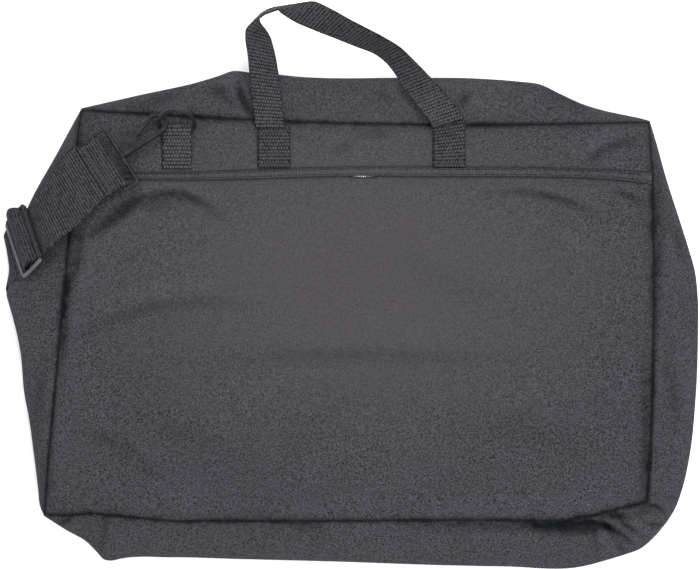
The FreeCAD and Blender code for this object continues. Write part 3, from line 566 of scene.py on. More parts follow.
@dataclass(frozen=True)
class Fitting:
    """Painted metal or moulded plastic, with fine grain and pale rubbed places; on the zip teeth glint finish
    the pale places are a painted glint.
    """

    name: str
    colour: tuple
    rubbed: tuple
    metal: float = 0.0
    rough: float = 0.42
    share: float = 0.5
    gloss: float = 0.16

    def make(self) -> bpy.types.Material:
        """Lay out the material.

        Returns:
            The material.
        """
        board = NodeBoard(self.name)
        where = board.add("ShaderNodeTexCoord").outputs["Object"]
        patches = board.stretch(board.noise(where, 160.0, 3.0, 0.6), 0.45, 0.72, 0.0, self.share)
        fine = board.noise(where, 2200.0, 2.0, 0.6)
        board.link(board.blend(patches, self.colour, self.rubbed), board.shader.inputs["Base Color"])
        roughness = board.stretch(fine, 0.3, 0.7, self.rough - 0.08, self.rough + 0.14)
        board.link(roughness, board.shader.inputs["Roughness"])
        board.relief(fine, 0.25, 0.0002)
        board.set(metallic=self.metal, specular_ior_level=self.gloss)
        return board.material


@dataclass(frozen=True)
class Backdrop:
    """Pale studio paper."""

    name: str = "studio_paper"

    def make(self) -> bpy.types.Material:
        """Lay out the material.

        Returns:
            The material.
        """
        board = NodeBoard(self.name)
        where = board.add("ShaderNodeTexCoord").outputs["Object"]
        base = board.blend(board.noise(where, 3.0), (0.90, 0.90, 0.90), (0.93, 0.93, 0.93))
        board.link(base, board.shader.inputs["Base Color"])
        board.set(roughness=0.9, specular_ior_level=0.1)
        return board.material


class Kit:
    """Every finish of the bag, made once."""

    def __init__(self) -> None:
        """Make the finishes."""
        # each cloth's second colour is the lighter, warmer painted highlight for the middle of a face; the dark
        # colour is painted shade for creases and seams; the near-black webbing colour is painted shade in the
        # gaps between ribs, and each webbing's pale colour is partly random speckle, partly painted highlight on
        # rib tops
        cloth, highlight_tone, dark = (0.0295, 0.0292, 0.0338), (0.0425, 0.0402, 0.0436), (0.003, 0.0034, 0.0048)
        tape, tape_highlight = (0.018, 0.018, 0.021), (0.022, 0.022, 0.024)
        edge, edge_highlight = (0.008, 0.008, 0.01), (0.01, 0.01, 0.012)
        crevice_shade = (0.0004, 0.0004, 0.0008)
        self.cloth = WovenCloth("charcoal_nylon", cloth, highlight_tone, dark).make()
        self.tape = WovenCloth("zip_tape_weave", tape, tape_highlight, dark, 0.4, 0.0008).make()
        self.binding = WovenCloth("seam_binding", edge, edge_highlight, dark, 0.3).make()
        self.strap = Webbing("strap_webbing", (0.0066, 0.0068, 0.009), (0.062, 0.062, 0.07), crevice_shade).make()
        self.handle = Webbing("handle_webbing", (0.0115, 0.0116, 0.0142), (0.073, 0.070, 0.073), crevice_shade).make()
        self.patch = Webbing("sewn_webbing", (0.0072, 0.0074, 0.0096), (0.056, 0.055, 0.06), crevice_shade).make()
        self.thread = Fitting("pale_thread", (0.06, 0.06, 0.065), (0.11, 0.11, 0.114),
                              rough=0.6, gloss=0.05).make()
        # real stitches whose dark colour is painted shade from the stitches pulling into the cloth
        self.shaded_thread = Fitting("shaded_thread", edge, (0.014, 0.014, 0.016), rough=0.7, gloss=0.04).make()
        self.hardware = Fitting("black_fittings", (0.007, 0.0072, 0.0085), (0.03, 0.03, 0.032),
                                rough=0.34).make()
        self.plastic = Fitting("rubbed_plastic", (0.075, 0.072, 0.074), (0.13, 0.118, 0.118), rough=0.45).make()
        self.steel = Fitting("bare_steel", (0.36, 0.35, 0.34), (0.6, 0.6, 0.6), metal=0.9, rough=0.38).make()
        self.teeth = Fitting("zip_teeth", (0.02, 0.02, 0.022), (0.2, 0.2, 0.2), rough=0.35, share=0.2).make()
        # painted glint: near-white finish for the few exposed zip teeth where the light glints
        self.glint = Fitting("painted_glint_teeth", (0.16, 0.16, 0.16), (0.95, 0.95, 0.95), rough=0.3, share=1.0).make()


# ---- The bag's pattern ------------------------------------------------------------------------
class Side(Enum):
    """The four sides of the face, in order round the bag."""

    TOP = 0
    RIGHT = 1
    BOTTOM = 2
    LEFT = 3


@dataclass(frozen=True)
class Crease:
    """One soft valley in the cloth with a low swell beside it.

    start and end are in millimetres on the face, bow is how far the line bends sideways,
    width is the valley's half width and depth how deep it is.
    """

    start: tuple
    end: tuple
    bow: float
    width: float
    depth: float
    swell: float = 0.55

    def height(self, x: np.ndarray, y: np.ndarray) -> np.ndarray:
        """How far the cloth goes up or down at each point, in metres.

        Args:
            x: plan x of each point.
            y: plan y of each point.

        Returns:
            The height.
        """
        a, b = mm(self.start), mm(self.end)
        run = b - a
        length = float(np.hypot(*run))
        dx, dy = x - a[0], y - a[1]
        s = (dx * run[0] + dy * run[1]) / length**2
        away = (dy * run[0] - dx * run[1]) / length / MM - self.bow * 4 * s * (1 - s)
        fade = np.where((s > -0.15) & (s < 1.15), np.sin(math.pi * clamp((s + 0.15) / 1.3)) ** 1.3, 0.0)
        valley = -self.depth * np.exp(-((away / self.width) ** 2))
        swell = self.swell * self.depth * np.exp(-(((away - 2.1 * self.width) / (1.5 * self.width)) ** 2))
        return (valley + swell) * fade * MM


@dataclass(frozen=True)
class Pattern:
    """Seam lines and heights of the sewn bag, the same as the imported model's."""

    top_left: tuple = (-240.1, 155.55)
    top_right: tuple = (266.9, 144.55)
    bottom_right: tuple = (265.0, -193.95)
    bottom_left: tuple = (-273.0, -204.95)
    bows: tuple = (-7.0, 4.5, 10.0, 0.0)
    # the front seam of the bottom side sags off its even bow
    low_seam: tuple = ((265.0, -193.95), (245.5, -198.6), (216.5, -205.8), (184.5, -210.3), (133.5, -209.6),
                     (40.0, -210.0), (-60.0, -210.6), (-127.5, -210.6), (-151.0, -210.9), (-182.5, -208.3),
                     (-215.5, -205.4), (-230.5, -204.0), (-256.0, -206.2), (-273.0, -204.95))
    seam_z: float = 34.0
    corner_drop: float = 7.0
    corner_reach: float = 0.15
    ridge_z: float = 17.0
    rim_z: float = 3.0
    strap_crossing_y: float = 22.0
    strap_crossing_half: float = 62.0
    strap_crossing_lift: float = 4.8
    # fold line of each gusset, from its first corner to its last
    folds: tuple = (
        ((-240.3, 158.2), (-188, 170), (-134.4, 182), (-118, 187), (-104.6, 191.5), (-90.8, 190.2),
         (-64, 188.2), (-44.8, 186.2), (-27, 185.3), (43.7, 185.3), (115.7, 184.6), (153, 181.8),
         (169, 179.8), (189.4, 170.4), (208.1, 162), (228.1, 155.9), (246.8, 151.9), (260, 149.2),
         (268.9, 146.8)),
        ((268.9, 146.8), (274.5, 128), (283.6, 95.2), (295.8, 57.1), (304, 31), (309.3, 12), (311.6, -8),
         (312, -49.4), (310, -101), (303.4, -160), (298.2, -182.3), (290.4, -203), (283.6, -213.6)),
        ((283.6, -213.6), (272.5, -226.6), (260, -237), (248, -241.6), (235, -245.6), (206, -253.2),
         (139, -252.8), (80, -251.6), (-10, -248.5), (-98, -246.2), (-159, -244.6), (-204.6, -245.6),
         (-214, -247.6), (-220.5, -246.6), (-227, -239.8), (-237.5, -229.6), (-253, -221), (-266.5, -212.6),
         (-274.4, -207.6)),
        ((-274.4, -207.6), (-277.6, -200), (-279.8, -182), (-284, -148), (-288, -119), (-291.8, -99),
         (-295.6, -60), (-302.2, -30), (-306.2, -16), (-308.0, -8), (-304.5, 0), (-301.5, 10), (-299.5, 40),
         (-288.0, 71), (-262.4, 118), (-240.6, 158.4)),
    )

    def corner(self, number: int) -> np.ndarray:
        """Corner where side number starts."""
        return mm((self.top_left, self.top_right, self.bottom_right, self.bottom_left)[number % 4])

    def seam(self, side: Side, t: np.ndarray) -> Line:
        """Plan points on a front seam at shares of its length.

        Args:
            side: which side of the bag.
            t: shares along it, from 0 to 1.

        Returns:
            The points.
        """
        if side is Side.BOTTOM:
            return smooth_through(mm(self.low_seam), t)
        return self.back_seam(side, t)

    def back_seam(self, side: Side, t: np.ndarray) -> Line:
        """Plan points on a back seam at shares of its length.

        Args:
            side: which side of the bag.
            t: shares along it, from 0 to 1.

        Returns:
            The points.
        """
        first, last = self.corner(side.value), self.corner(side.value + 1)
        out = self.out(side)
        bow = self.bows[side.value] * MM * 4 * t * (1 - t)
        return first + (last - first) * t[:, None] + out * bow[:, None]

    def out(self, side: Side) -> np.ndarray:
        """Plan direction out of the bag across a side."""
        run = unit(self.corner(side.value + 1) - self.corner(side.value))
        return np.array([-run[1], run[0]])

    def seam_height(self, t: np.ndarray) -> np.ndarray:
        """Height of the front seam, lower at the corners."""
        return (self.seam_z - self.corner_drop * (1 - ease(np.minimum(t, 1 - t) / self.corner_reach))) * MM

    def rim_height(self, points: Line) -> np.ndarray:
        """Height of the back seam, lifted over the strap at the left.

        Args:
            points: plan points on the seam.

        Returns:
            Height of each point, in metres.
        """
        away = np.abs(points[:, 1] / MM - self.strap_crossing_y) / self.strap_crossing_half
        lift = self.strap_crossing_lift * ease(2.2 * (1 - away)) * (points[:, 0] < 0)
        return (self.rim_z + lift) * MM

    def at_y(self, side: Side, y: np.ndarray) -> tuple[np.ndarray, np.ndarray]:
        """Where a left or right seam passes given heights up the face.

        Args:
            side: LEFT or RIGHT.
            y: plan y of each wanted point, in metres.

        Returns:
            The seam's x there, and its height above the floor.
        """
        t = even(600)
        line, z = self.seam(side, t), self.seam_height(t)
        order = np.argsort(line[:, 1])
        return np.interp(y, line[order, 1], line[order, 0]), np.interp(y, line[order, 1], z[order])


PATTERN = Pattern()

CREASES = (
    Crease((-198, 70), (-118, 64), 14, 5.0, 2.6),
    Crease((-184, 88), (-240, 40), 5, 5.5, 2.6),
    Crease((-216, 60), (-158, 72), 4, 8.0, 1.6, 0.2),
    Crease((-240, 50), (-252, -10), 3, 4.4, 2.0),
    Crease((-250, 30), (-258, -90), 0, 3.6, 2.0, 0.2),
    Crease((-258, -54), (-89, -18), 16, 6.0, 1.1),
    Crease((-116, -67), (133, -66), 4, 8.0, 0.8),
    Crease((127, 82), (222, 60), 8, 4.0, 2.0),
    Crease((235, 83), (260, 70), 3, 3.4, 1.6),
    Crease((206, 106), (259, 131), 4, 4.0, 2.0),
    Crease((-16, 116), (4, 126), 2, 5.0, 1.0),
    Crease((10, 136), (36, 130), 2, 5.0, 1.0),
    Crease((-232, 100), (-242, 146), 3, 3.2, 2.2),
    Crease((-100, 183), (-84, 148), -3, 3.6, 4.0),
    Crease((-128, 176), (-104, 160), 4, 6.0, 1.8),
    Crease((106, 174), (96, 160), 2, 4.0, 2.0),
    Crease((22, 172), (38, 163), 2, 4.4, 1.4),
    Crease((60, 178), (90, 152), 2, 5.0, 1.2),
    Crease((-150, 172), (-196, 160), 2, 6.0, 1.2),
    Crease((170, 178), (214, 152), 2, 6.0, 1.6),
    Crease((146, -212), (262, -203), -8, 5.5, 3.8, 0.2),
    Crease((168, -214), (228, -214), -3, 7.0, 1.6, 0.2),
    Crease((214, -212), (254, -233), 4, 2.2, 4.4, 1.0),
    Crease((226, -216), (262, -226), 5, 2.4, 2.6, 0.8),
    Crease((232, -203), (252, -222), 3, 4.4, 2.2),
    Crease((264, -197), (284, -208), 4, 1.8, 3.2, 1.0),
    Crease((260, -212), (282, -215), -1, 1.6, 2.4),
    Crease((218, -212), (222, -246), 0, 2.6, 1.2),
    Crease((-246, -203), (-268, -215), 4, 2.6, 2.2),
    Crease((-60, -212), (-20, -220), 2, 6.0, 1.2),
    Crease((60, -213), (150, -219), 3, 5.0, 1.8),
    Crease((275, 110), (272, -30), 0, 6.0, 1.5, 0.2),
    Crease((281, -60), (290, -130), 3, 6.0, 1.2),
    Crease((262, -60), (262, -190), 0, 4.5, 1.7, 0.3),
    Crease((282, 60), (300, 20), 2, 6.0, 1.3),
    Crease((-270, -60), (-280, -140), -2, 6.0, 1.0),
    Crease((-200, -120), (-110, -150), 6, 12.0, 0.5),
    Crease((40, 30), (150, -10), -8, 16.0, 0.4),
    Crease((90, -120), (210, -150), 6, 14.0, 0.5),
    Crease((-240, -130), (-170, -172), 6, 8.0, 0.9),
)


def folds_at(x: np.ndarray, y: np.ndarray) -> np.ndarray:
    """Height of every crease at plan points, in metres."""
    return sum(crease.height(x, y) for crease in CREASES)


def cloth_lie(x: np.ndarray, y: np.ndarray) -> np.ndarray:
    """Creases, soft swells and small puckers of the cloth at plan points, in metres."""
    height = folds_at(x, y) + 0.55 * MM * mottle(x, y, 0.085, 3) + 0.32 * MM * mottle(x, y, 0.034, 5)
    return height + 0.14 * MM * mottle(x, y, 0.012, 8) + 0.07 * MM * mottle(x, y, 0.0055, 11)


def crease_shading(x: np.ndarray, y: np.ndarray) -> np.ndarray:
    """Painted shading from the creases alone: painted shade in the valleys and a little painted highlight on the
    swells.
    """
    ragged = 1 + 0.35 * mottle(x, y, 0.005, 17) + 0.25 * mottle(x, y, 0.0023, 19)
    return np.clip(folds_at(x, y) * ragged / (3.6 * MM), -0.72, 0.2)


FAINT_SEAM_SHADE_AT = (0.243, 0.148)  # where the painted seam shade is weaker (the seam lies pressed flat there), near the upper right corner
FAINT_SEAM_SHADE_REACH = 0.024
DEEP_SHADE_AT = (0.214, -0.208)  # where the painted shade below the lower seam is broader and darker (the seam is tucked in there), and how far that reaches
DEEP_SHADE_REACH = (0.055, 0.018)


def seam_shading(x: np.ndarray, y: np.ndarray, away: np.ndarray) -> np.ndarray:
    """Painted shade beside a sewn seam: a ragged dark line and a broad soft dark band.

    Args:
        x: plan x of each point.
        y: plan y of each point.
        away: distance from the seam.

    Returns:
        Painted shade for each point, below 0.
    """
    ragged = 1 + 0.55 * mottle(x, y, 0.0026, 23) + 0.35 * mottle(x, y, 0.009, 27)
    strength = 0.8 + 0.35 * mottle(x, y, 0.032, 29)
    faint_seam_shade = 1 - 0.7 * np.exp(-(np.hypot(x - FAINT_SEAM_SHADE_AT[0], y - FAINT_SEAM_SHADE_AT[1]) / FAINT_SEAM_SHADE_REACH) ** 2)
    # painted shade: a ragged dark line in the seam crevice and a broad soft dark band beside it, broader near
    # the tucked lower seam and weaker near the upper right corner
    line = -0.62 * np.exp(-((away / (1.5 * MM * ragged)) ** 2))
    deep_shade = np.exp(-np.hypot((x - DEEP_SHADE_AT[0]) / DEEP_SHADE_REACH[0], (y - DEEP_SHADE_AT[1]) / DEEP_SHADE_REACH[1]) ** 2)
    shade = -0.42 * ragged * (1 + 0.7 * deep_shade) * np.exp(-((away / ((4.6 + 5.0 * deep_shade) * MM)) ** 1.2))
    return (line + shade) * strength * faint_seam_shade


# ---- Cloth of the bag --------------------------------------------------------------------------
@dataclass
class BagCloth:
    """Panels of the bag: face, yoke, zip flap, gussets, back, and the seams that join them."""

    kit: Kit
    pattern: Pattern = PATTERN
    crown: float = 4.2 * MM
    yoke_crown: float = 1.6 * MM
    pillow_reach: float = 9.0 * MM
    seam_sink: float = 3.0 * MM
    panel_top_z: float = 35.6 * MM
    root_z: float = 39.6 * MM
    flap_z: float = 41.3 * MM
    lip_drop: float = 1.3 * MM
    flap_thick: float = 1.0 * MM
    slack: float = 0.004
    sag_limit: float = 2.6 * MM
    settle_frames: int = 24
    cloth_mass: float = 0.25
    stretch_stiffness: float = 18.0
    bend_stiffness: float = 0.8
    air_drag: float = 3.0
    fold_roundness: float = 0.74
    lowest: float = 1.2 * MM
    back_lift: float = 4.0 * MM
    hook_lift: float = 12.4 * MM
    hook_middle: tuple = (0.118, 0.098)
    hook_reach: tuple = (0.070, 0.048)
    # share from the root to the free edge, how proud, and painted shading: painted shade in the root groove and
    # small dips, painted highlight on the raised parts
    flap_profile: tuple = ((0.0, -0.9, -0.3), (0.04, 0.1, -0.15), (0.10, 0.7, 0.0), (0.16, 0.8, -0.1),
                           (0.22, 0.9, 0.0), (0.34, 1.0, 0.06), (0.5, 0.98, 0.06), (0.64, 0.9, 0.04),
                           (0.74, 0.84, 0.0), (0.80, 0.7, -0.12), (0.86, 0.8, 0.05), (0.93, 0.62, 0.14),
                           (0.98, 0.25, 0.1), (1.0, -0.15, 0.0))
    # free edge of the zip flap and the seam at its root, across the face
    lip_line: tuple = ((-252, 96), (-190, 93.5), (-117, 93.4), (-69, 94.6), (-27, 96), (8, 96.6),
                     (62, 96.2), (125, 96), (187, 95.4), (225, 94), (250, 91.6), (271, 89))
    root_line: tuple = ((-252, 101), (-190, 99.6), (-142, 100.2), (-85, 102.4), (-25, 104.2), (18, 105),
                      (110, 104.6), (187, 103.7), (235, 102), (271, 99.6))

    def line_y(self, line: tuple, x: np.ndarray) -> np.ndarray:
        """Plan y of a listed line at each x, in metres."""
        points = smooth_through(mm(line), even(200))
        return np.interp(x, points[:, 0], points[:, 1])

    def face_ends(self, y: float) -> tuple[float, float]:
        """Plan x of the left and right seams at a height up the face, given in millimetres."""
        left, right = (self.pattern.at_y(side, mm((y,)))[0][0] for side in (Side.LEFT, Side.RIGHT))
        return left, right

    def face_patch(self, upper: Line, lower: Line, rows: int) -> Grid:
        """Cloth between an upper and a lower line, with its ends on the side seams.

        Args:
            upper: points with height along the upper edge, left to right.
            lower: points with height along the lower edge, left to right.
            rows: rows of points from the upper edge to the lower.

        Returns:
            The grid of points, upper edge first.
        """
        v = even(rows)[:, None, None]
        grid = upper[None] * (1 - v) + lower[None] * v
        share = even(grid.shape[1])[None, :]
        y_left = np.linspace(upper[0, 1], lower[0, 1], rows)
        y_right = np.linspace(upper[-1, 1], lower[-1, 1], rows)
        for side, y, weight, column in ((Side.LEFT, y_left, 1 - share, 0), (Side.RIGHT, y_right, share, -1)):
            x, _ = self.pattern.at_y(side, y)
            grid[..., 0] += (x - grid[:, column, 0])[:, None] * weight
        return grid

    def seam_distance(self, grid: Grid) -> np.ndarray:
        """Distance of each point from the nearest front seam, in metres.

        Args:
            grid: the points.

        Returns:
            The distances.
        """
        x, y = grid[..., 0], grid[..., 1]
        t = even(500)
        top, low = self.pattern.seam(Side.TOP, t), self.pattern.seam(Side.BOTTOM, t)[::-1]
        left, _ = self.pattern.at_y(Side.LEFT, y)
        right, _ = self.pattern.at_y(Side.RIGHT, y)
        gaps = [np.interp(x, top[:, 0], top[:, 1]) - y, y - np.interp(x, low[:, 0], low[:, 1]),
                x - left, right - x]
        return np.maximum(np.min(gaps, axis=0), 0.0)

    def settle(self, grid: Grid, free: np.ndarray, crown: float) -> np.ndarray:
        """Give a flat patch its pillow edge, creases and puckers.

        Args:
            grid: the patch, changed in place.
            free: from 0 to 1, how free each point is to move.
            crown: how far the patch swells over its seams, in metres.

        Returns:
            Wear for each point.
        """
        away = self.seam_distance(grid)
        x, y = grid[..., 0], grid[..., 1]
        lie = cloth_lie(x, y) * free * ease(away / (6 * MM))
        pucker = mottle(x + 0.3 * y, y - 0.3 * x, 0.009, 21) * np.exp(-away / (8 * MM))
        pucker *= ease(away / (1.5 * MM))
        sink = np.exp(-((away / (2.2 * MM)) ** 2))
        grid[..., 2] += lie + 0.4 * MM * pucker * free - self.seam_sink * sink
        grid[..., 2] += crown * (1 - np.exp(-away / self.pillow_reach)) * free
        return crease_shading(x, y) * ease(away / (3 * MM)) + seam_shading(x, y, away)

    def panel(self) -> bpy.types.Object:
        """Front cloth under the zip.

        Returns:
            The new object.
        """
        count = 236
        x = np.linspace(*self.face_ends(93.0), count)
        y = self.line_y(self.lip_line, x) + 0.9 * MM - 2.6 * MM * np.exp(-(((x - 0.012) / 0.012) ** 2))
        dip = ease(np.minimum(x - x[0], x[-1] - x) / (9 * MM))
        upper = np.stack([x, y, self.panel_top_z - 1.8 * MM * (1 - dip)], axis=1)
        t = even(count)
        low = self.pattern.seam(Side.BOTTOM, t)[::-1]
        lower = np.column_stack([low, self.pattern.seam_height(t)])
        grid = self.face_patch(upper, lower, 150)
        below = upper[None, :, 1] - grid[..., 1]
        free = ease(below / (26 * MM))
        self.side_heights(grid, free)
        grid[..., 2] += self.slackened(grid) * free
        painted_shading = self.settle(grid, 0.12 + 0.88 * free, self.crown)
        # painted highlight on the raised hem below the lip, and painted shade on the rolled top edge under the
        # flap
        hem = np.exp(-(((below - 3.2 * MM) / (0.9 * MM)) ** 2))
        grid[..., 2] += 0.2 * MM * hem
        painted_shading += 0.16 * hem
        rolled = grid[:1] + np.array([0.0, 0.0006, -0.0014])
        skin = np.vstack([rolled, grid])
        obj = Build.sheet("face_cloth", skin, self.kit.cloth, np.vstack([painted_shading[:1] - 0.2, painted_shading]))
        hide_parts("front_panel")
        return obj

    def slackened(self, grid: Grid) -> np.ndarray:
        """Let a coarse copy of the face cloth, cut a little too large, hang between its seams.

        Args:
            grid: the face cloth before its creases.

        Returns:
            How far the cloth moves up or down at each point of the grid, in metres.
        """
        scene = bpy.context.scene
        rows, cols = np.arange(0, grid.shape[0], 2), np.arange(0, grid.shape[1], 2)
        rows[-1], cols[-1] = grid.shape[0] - 1, grid.shape[1] - 1
        coarse = grid[np.ix_(rows, cols)]
        trial = Build.sheet("trial_cloth", coarse, self.kit.cloth)
        held = np.zeros(coarse.shape[:2], bool)
        held[[0, -1], :], held[:, [0, -1]] = True, True
        pins = trial.vertex_groups.new(name="sewn")
        pins.add([int(i) for i in np.flatnonzero(held)], 1.0, "REPLACE")
        cloth = trial.modifiers.new("cloth", "CLOTH")
        cloth.settings.vertex_group_mass = "sewn"
        cloth.settings.quality = 8
        cloth.settings.mass = self.cloth_mass
        cloth.settings.tension_stiffness = cloth.settings.compression_stiffness = self.stretch_stiffness
        cloth.settings.bending_stiffness = self.bend_stiffness
        cloth.settings.shrink_min = -self.slack
        cloth.settings.air_damping = self.air_drag
        cloth.collision_settings.use_collision = False
        cloth.collision_settings.use_self_collision = False
        cloth.point_cache.frame_start, cloth.point_cache.frame_end = 1, self.settle_frames
        for frame in range(1, self.settle_frames + 1):
            scene.frame_set(frame)
        hung = trial.evaluated_get(bpy.context.evaluated_depsgraph_get()).to_mesh()
        found = np.empty(len(hung.vertices) * 3, np.float32)
        hung.vertices.foreach_get("co", found)
        moved = found.reshape(coarse.shape)[..., 2] - coarse[..., 2]
        bpy.data.objects.remove(trial)
        scene.frame_set(1)
        LOG.info("face cloth hung: %.1f mm down, %.1f mm up", -moved.min() / MM, moved.max() / MM)
        moved = self.sag_limit * np.tanh(moved / self.sag_limit)
        across = np.array([np.interp(np.arange(grid.shape[1]), cols, row) for row in moved])
        return np.array([np.interp(np.arange(grid.shape[0]), rows, column) for column in across.T]).T

    def side_heights(self, grid: Grid, free: np.ndarray) -> None:
        """Draw a patch's two ends down to the side seams' own heights.

        Args:
            grid: the patch, changed in place.
            free: from 0 to 1, how free each point is to move.
        """
        share = even(grid.shape[1])[None, :]
        for side, column, near in ((Side.LEFT, 0, 1 - share), (Side.RIGHT, -1, share)):
            _, z = self.pattern.at_y(side, grid[:, column, 1])
            pull = ease((near - 0.86) / 0.14)
            grid[..., 2] += (z - grid[:, column, 2])[:, None] * pull * np.maximum(free, 0.3)

    def yoke(self) -> bpy.types.Object:
        """Front cloth above the zip.

        Returns:
            The new object.
        """
        count = 236
        t = even(count)
        upper = np.column_stack([self.pattern.seam(Side.TOP, t), self.pattern.seam_height(t)])
        x = np.linspace(*self.face_ends(100.0), count)
        y = self.line_y(self.root_line, x)
        dip = ease(np.minimum(x - x[0], x[-1] - x) / (9 * MM))
        lower = np.stack([x, y, self.root_z - 4.6 * MM * (1 - dip)], axis=1)
        grid = self.face_patch(upper, lower, 30)
        above = grid[..., 1] - lower[None, :, 1]
        free = 0.15 + 0.85 * ease(above / (12 * MM))
        painted_shading = self.settle(grid, free, self.yoke_crown)
        # the groove at the flap's root seam is sunk and darkened with painted shade
        groove = np.exp(-((above / (1.2 * MM)) ** 2))
        grid[..., 2] -= 0.3 * MM * groove
        painted_shading -= 0.12 * groove
        obj = Build.sheet("yoke_cloth", grid, self.kit.cloth, painted_shading)
        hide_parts("front_yoke")
        return obj

    def flap_point(self, x: np.ndarray, share: float) -> Line:
        """Points on the flap's upper face.

        Args:
            x: plan x of each point.
            share: how far down from the root seam, 0, to the free edge, 1.

        Returns:
            The points.
        """
        root, lip = self.line_y(self.root_line, x), self.line_y(self.lip_line, x)
        left, right = self.face_ends(97.0)
        dip = 1 - ease(np.minimum(x - left, right - x) / (10 * MM))
        swell = float(np.interp(share, [profile[0] for profile in self.flap_profile],
                                [profile[1] for profile in self.flap_profile]))
        ripple = 0.3 * MM * mottle(x, 0 * x, 0.03, 31) + 0.14 * MM * mottle(x, 0 * x, 0.009, 33)
        z = self.root_z + (self.flap_z - self.root_z) * swell - self.lip_drop * share**2 - 5.2 * MM * dip
        return np.stack([x, root * (1 - share) + lip * share, z + ripple * share], axis=1)

    def flap(self) -> bpy.types.Object:
        """Turned strip of cloth that laps over the zip.

        Returns:
            The new object.
        """
        count = 330
        left, right = self.face_ends(97.0)
        x = np.linspace(left + 0.3 * MM, right - 0.3 * MM, count)
        top = [self.flap_point(x, share) for share, _, _ in self.flap_profile]
        under = [row - np.array([0, 0, self.flap_thick]) for row in top[::-1]]
        grid = np.stack(top + under, axis=1)
        painted_shading = np.array([shade for _, _, shade in self.flap_profile])
        # the underside takes extra painted shade
        shade = np.tile(np.concatenate([painted_shading, painted_shading[::-1] - 0.3]), (count, 1))
        obj = Build.loft("zip_flap_cloth", grid, self.kit.cloth, shade)
        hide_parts("zip_flap")
        return obj

    def flap_stitches(self, stitching: "Stitching") -> bpy.types.Object:
        """Rows of stitches along the flap's root and free edge and the face cloth's hem.

        Args:
            stitching: lays the stitches.

        Returns:
            The new object.
        """
        x = np.linspace(-0.247, 0.262, 90)
        paths = [self.flap_point(x, share) + [0, 0, 0.1 * MM] for share in (0.16, 0.30, 0.80)]
        hem = self.flap_point(x, 1.0)
        hem[:, 1] -= 2.6 * MM
        hem[:, 2] = self.panel_top_z + 0.45 * MM
        return stitching.rows("zip_flap_stitches", paths + [hem[2:-2]], "bag", "cloth", dark=True)

    def gusset_ring(self) -> tuple[Grid, np.ndarray, list]:
        """Fold-out side strip all round the bag.

        Returns:
            Rings of points from the front seam over the fold to the back seam, wear, and the
            number of stations on each side.
        """
        grids, shadings, counts = [], [], []
        for side, count in zip(Side, (236, 160, 246, 168)):
            t = even(count + 1)[:-1]
            edge = self.pattern.seam(side, t)
            fold = smooth_through(mm(self.pattern.folds[side.value]), t)
            back, top = self.pattern.back_seam(side, t), self.pattern.seam_height(t)
            grid, painted_shading = self.gusset_columns(edge, back, fold, top)
            grids.append(grid)
            shadings.append(painted_shading)
            counts.append(count)
        return np.vstack(grids), np.vstack(shadings), counts

    def gusset_columns(self, edge: Line, back: Line, fold: Line, top: np.ndarray) -> tuple[Grid, np.ndarray]:
        """Cross-sections of the gusset at stations along one side.

        Args:
            edge: plan points on the front seam.
            back: plan points on the back seam.
            fold: plan points on the fold.
            top: height of the front seam at each station.

        Returns:
            The grid and its wear.
        """
        ridge = self.pattern.ridge_z * MM
        width = np.linalg.norm(fold - edge, axis=1)[:, None]
        angles = np.concatenate([even(26) ** 1.25, 1 + even(15)[1:]]) * (math.pi / 2)
        across = np.abs(np.sin(angles)) ** (2 * self.fold_roundness)
        along = np.abs(np.cos(angles)) ** (2 * self.fold_roundness)
        front = (angles <= math.pi / 2)[None, :]
        root = np.where(front[..., None], edge[:, None], back[:, None])
        plan = root + (fold[:, None] - root) * across[None, :, None]
        rim = self.pattern.rim_height(back)
        height = np.where(front, ridge + (top[:, None] - ridge) * along, ridge - (ridge - rim[:, None]) * along)
        away = across[None] * width
        lie = cloth_lie(plan[..., 0], plan[..., 1]) * ease(away / (5 * MM)) * front * (1 - across[None] ** 6)
        sink = np.exp(-((away / (2.0 * MM)) ** 2)) * front
        height = height + lie - self.seam_sink * sink - 1.2 * MM * np.exp(-away / (7 * MM)) * front
        height = np.maximum(height, self.lowest)
        # painted shade in crease valleys and along the seams (half as strong on the back seam), painted
        # highlight along the fold
        painted_shading = crease_shading(plan[..., 0], plan[..., 1]) * front * ease(away / (3 * MM))
        painted_shading = painted_shading + seam_shading(plan[..., 0], plan[..., 1], away) * np.where(front, 1.0, 0.5)
        return np.dstack([plan, height]), painted_shading + 0.18 * across[None] ** 8

    def gussets(self) -> bpy.types.Object:
        """All four gussets as one folded shell.

        Returns:
            The new object.
        """
        grid, painted_shading, counts = self.gusset_ring()
        start = counts[0] + counts[1]
        for share in (0.085, 0.895):
            at = start + int(share * counts[2])
            # the two sunk seams across the bottom gusset are darkened with painted shade
            for step, drop in ((0, 0.7), (1, 0.35), (-1, 0.35)):
                grid[at + step, 2:-2, 2] -= drop * MM
                painted_shading[at + step] -= 0.55 * drop
        count, cols = grid.shape[:2]
        faces = Build.grid_faces(count, cols)
        last = (count - 1) * cols
        faces += [(last + j, j, j + 1, last + j + 1) for j in range(cols - 1)]
        obj = Build.piece("gusset_cloth", grid.reshape(-1, 3), faces, self.kit.cloth, painted_shading.ravel())
        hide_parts("top_gusset", "right_gusset", "bottom_gusset", "left_gusset")
        return obj

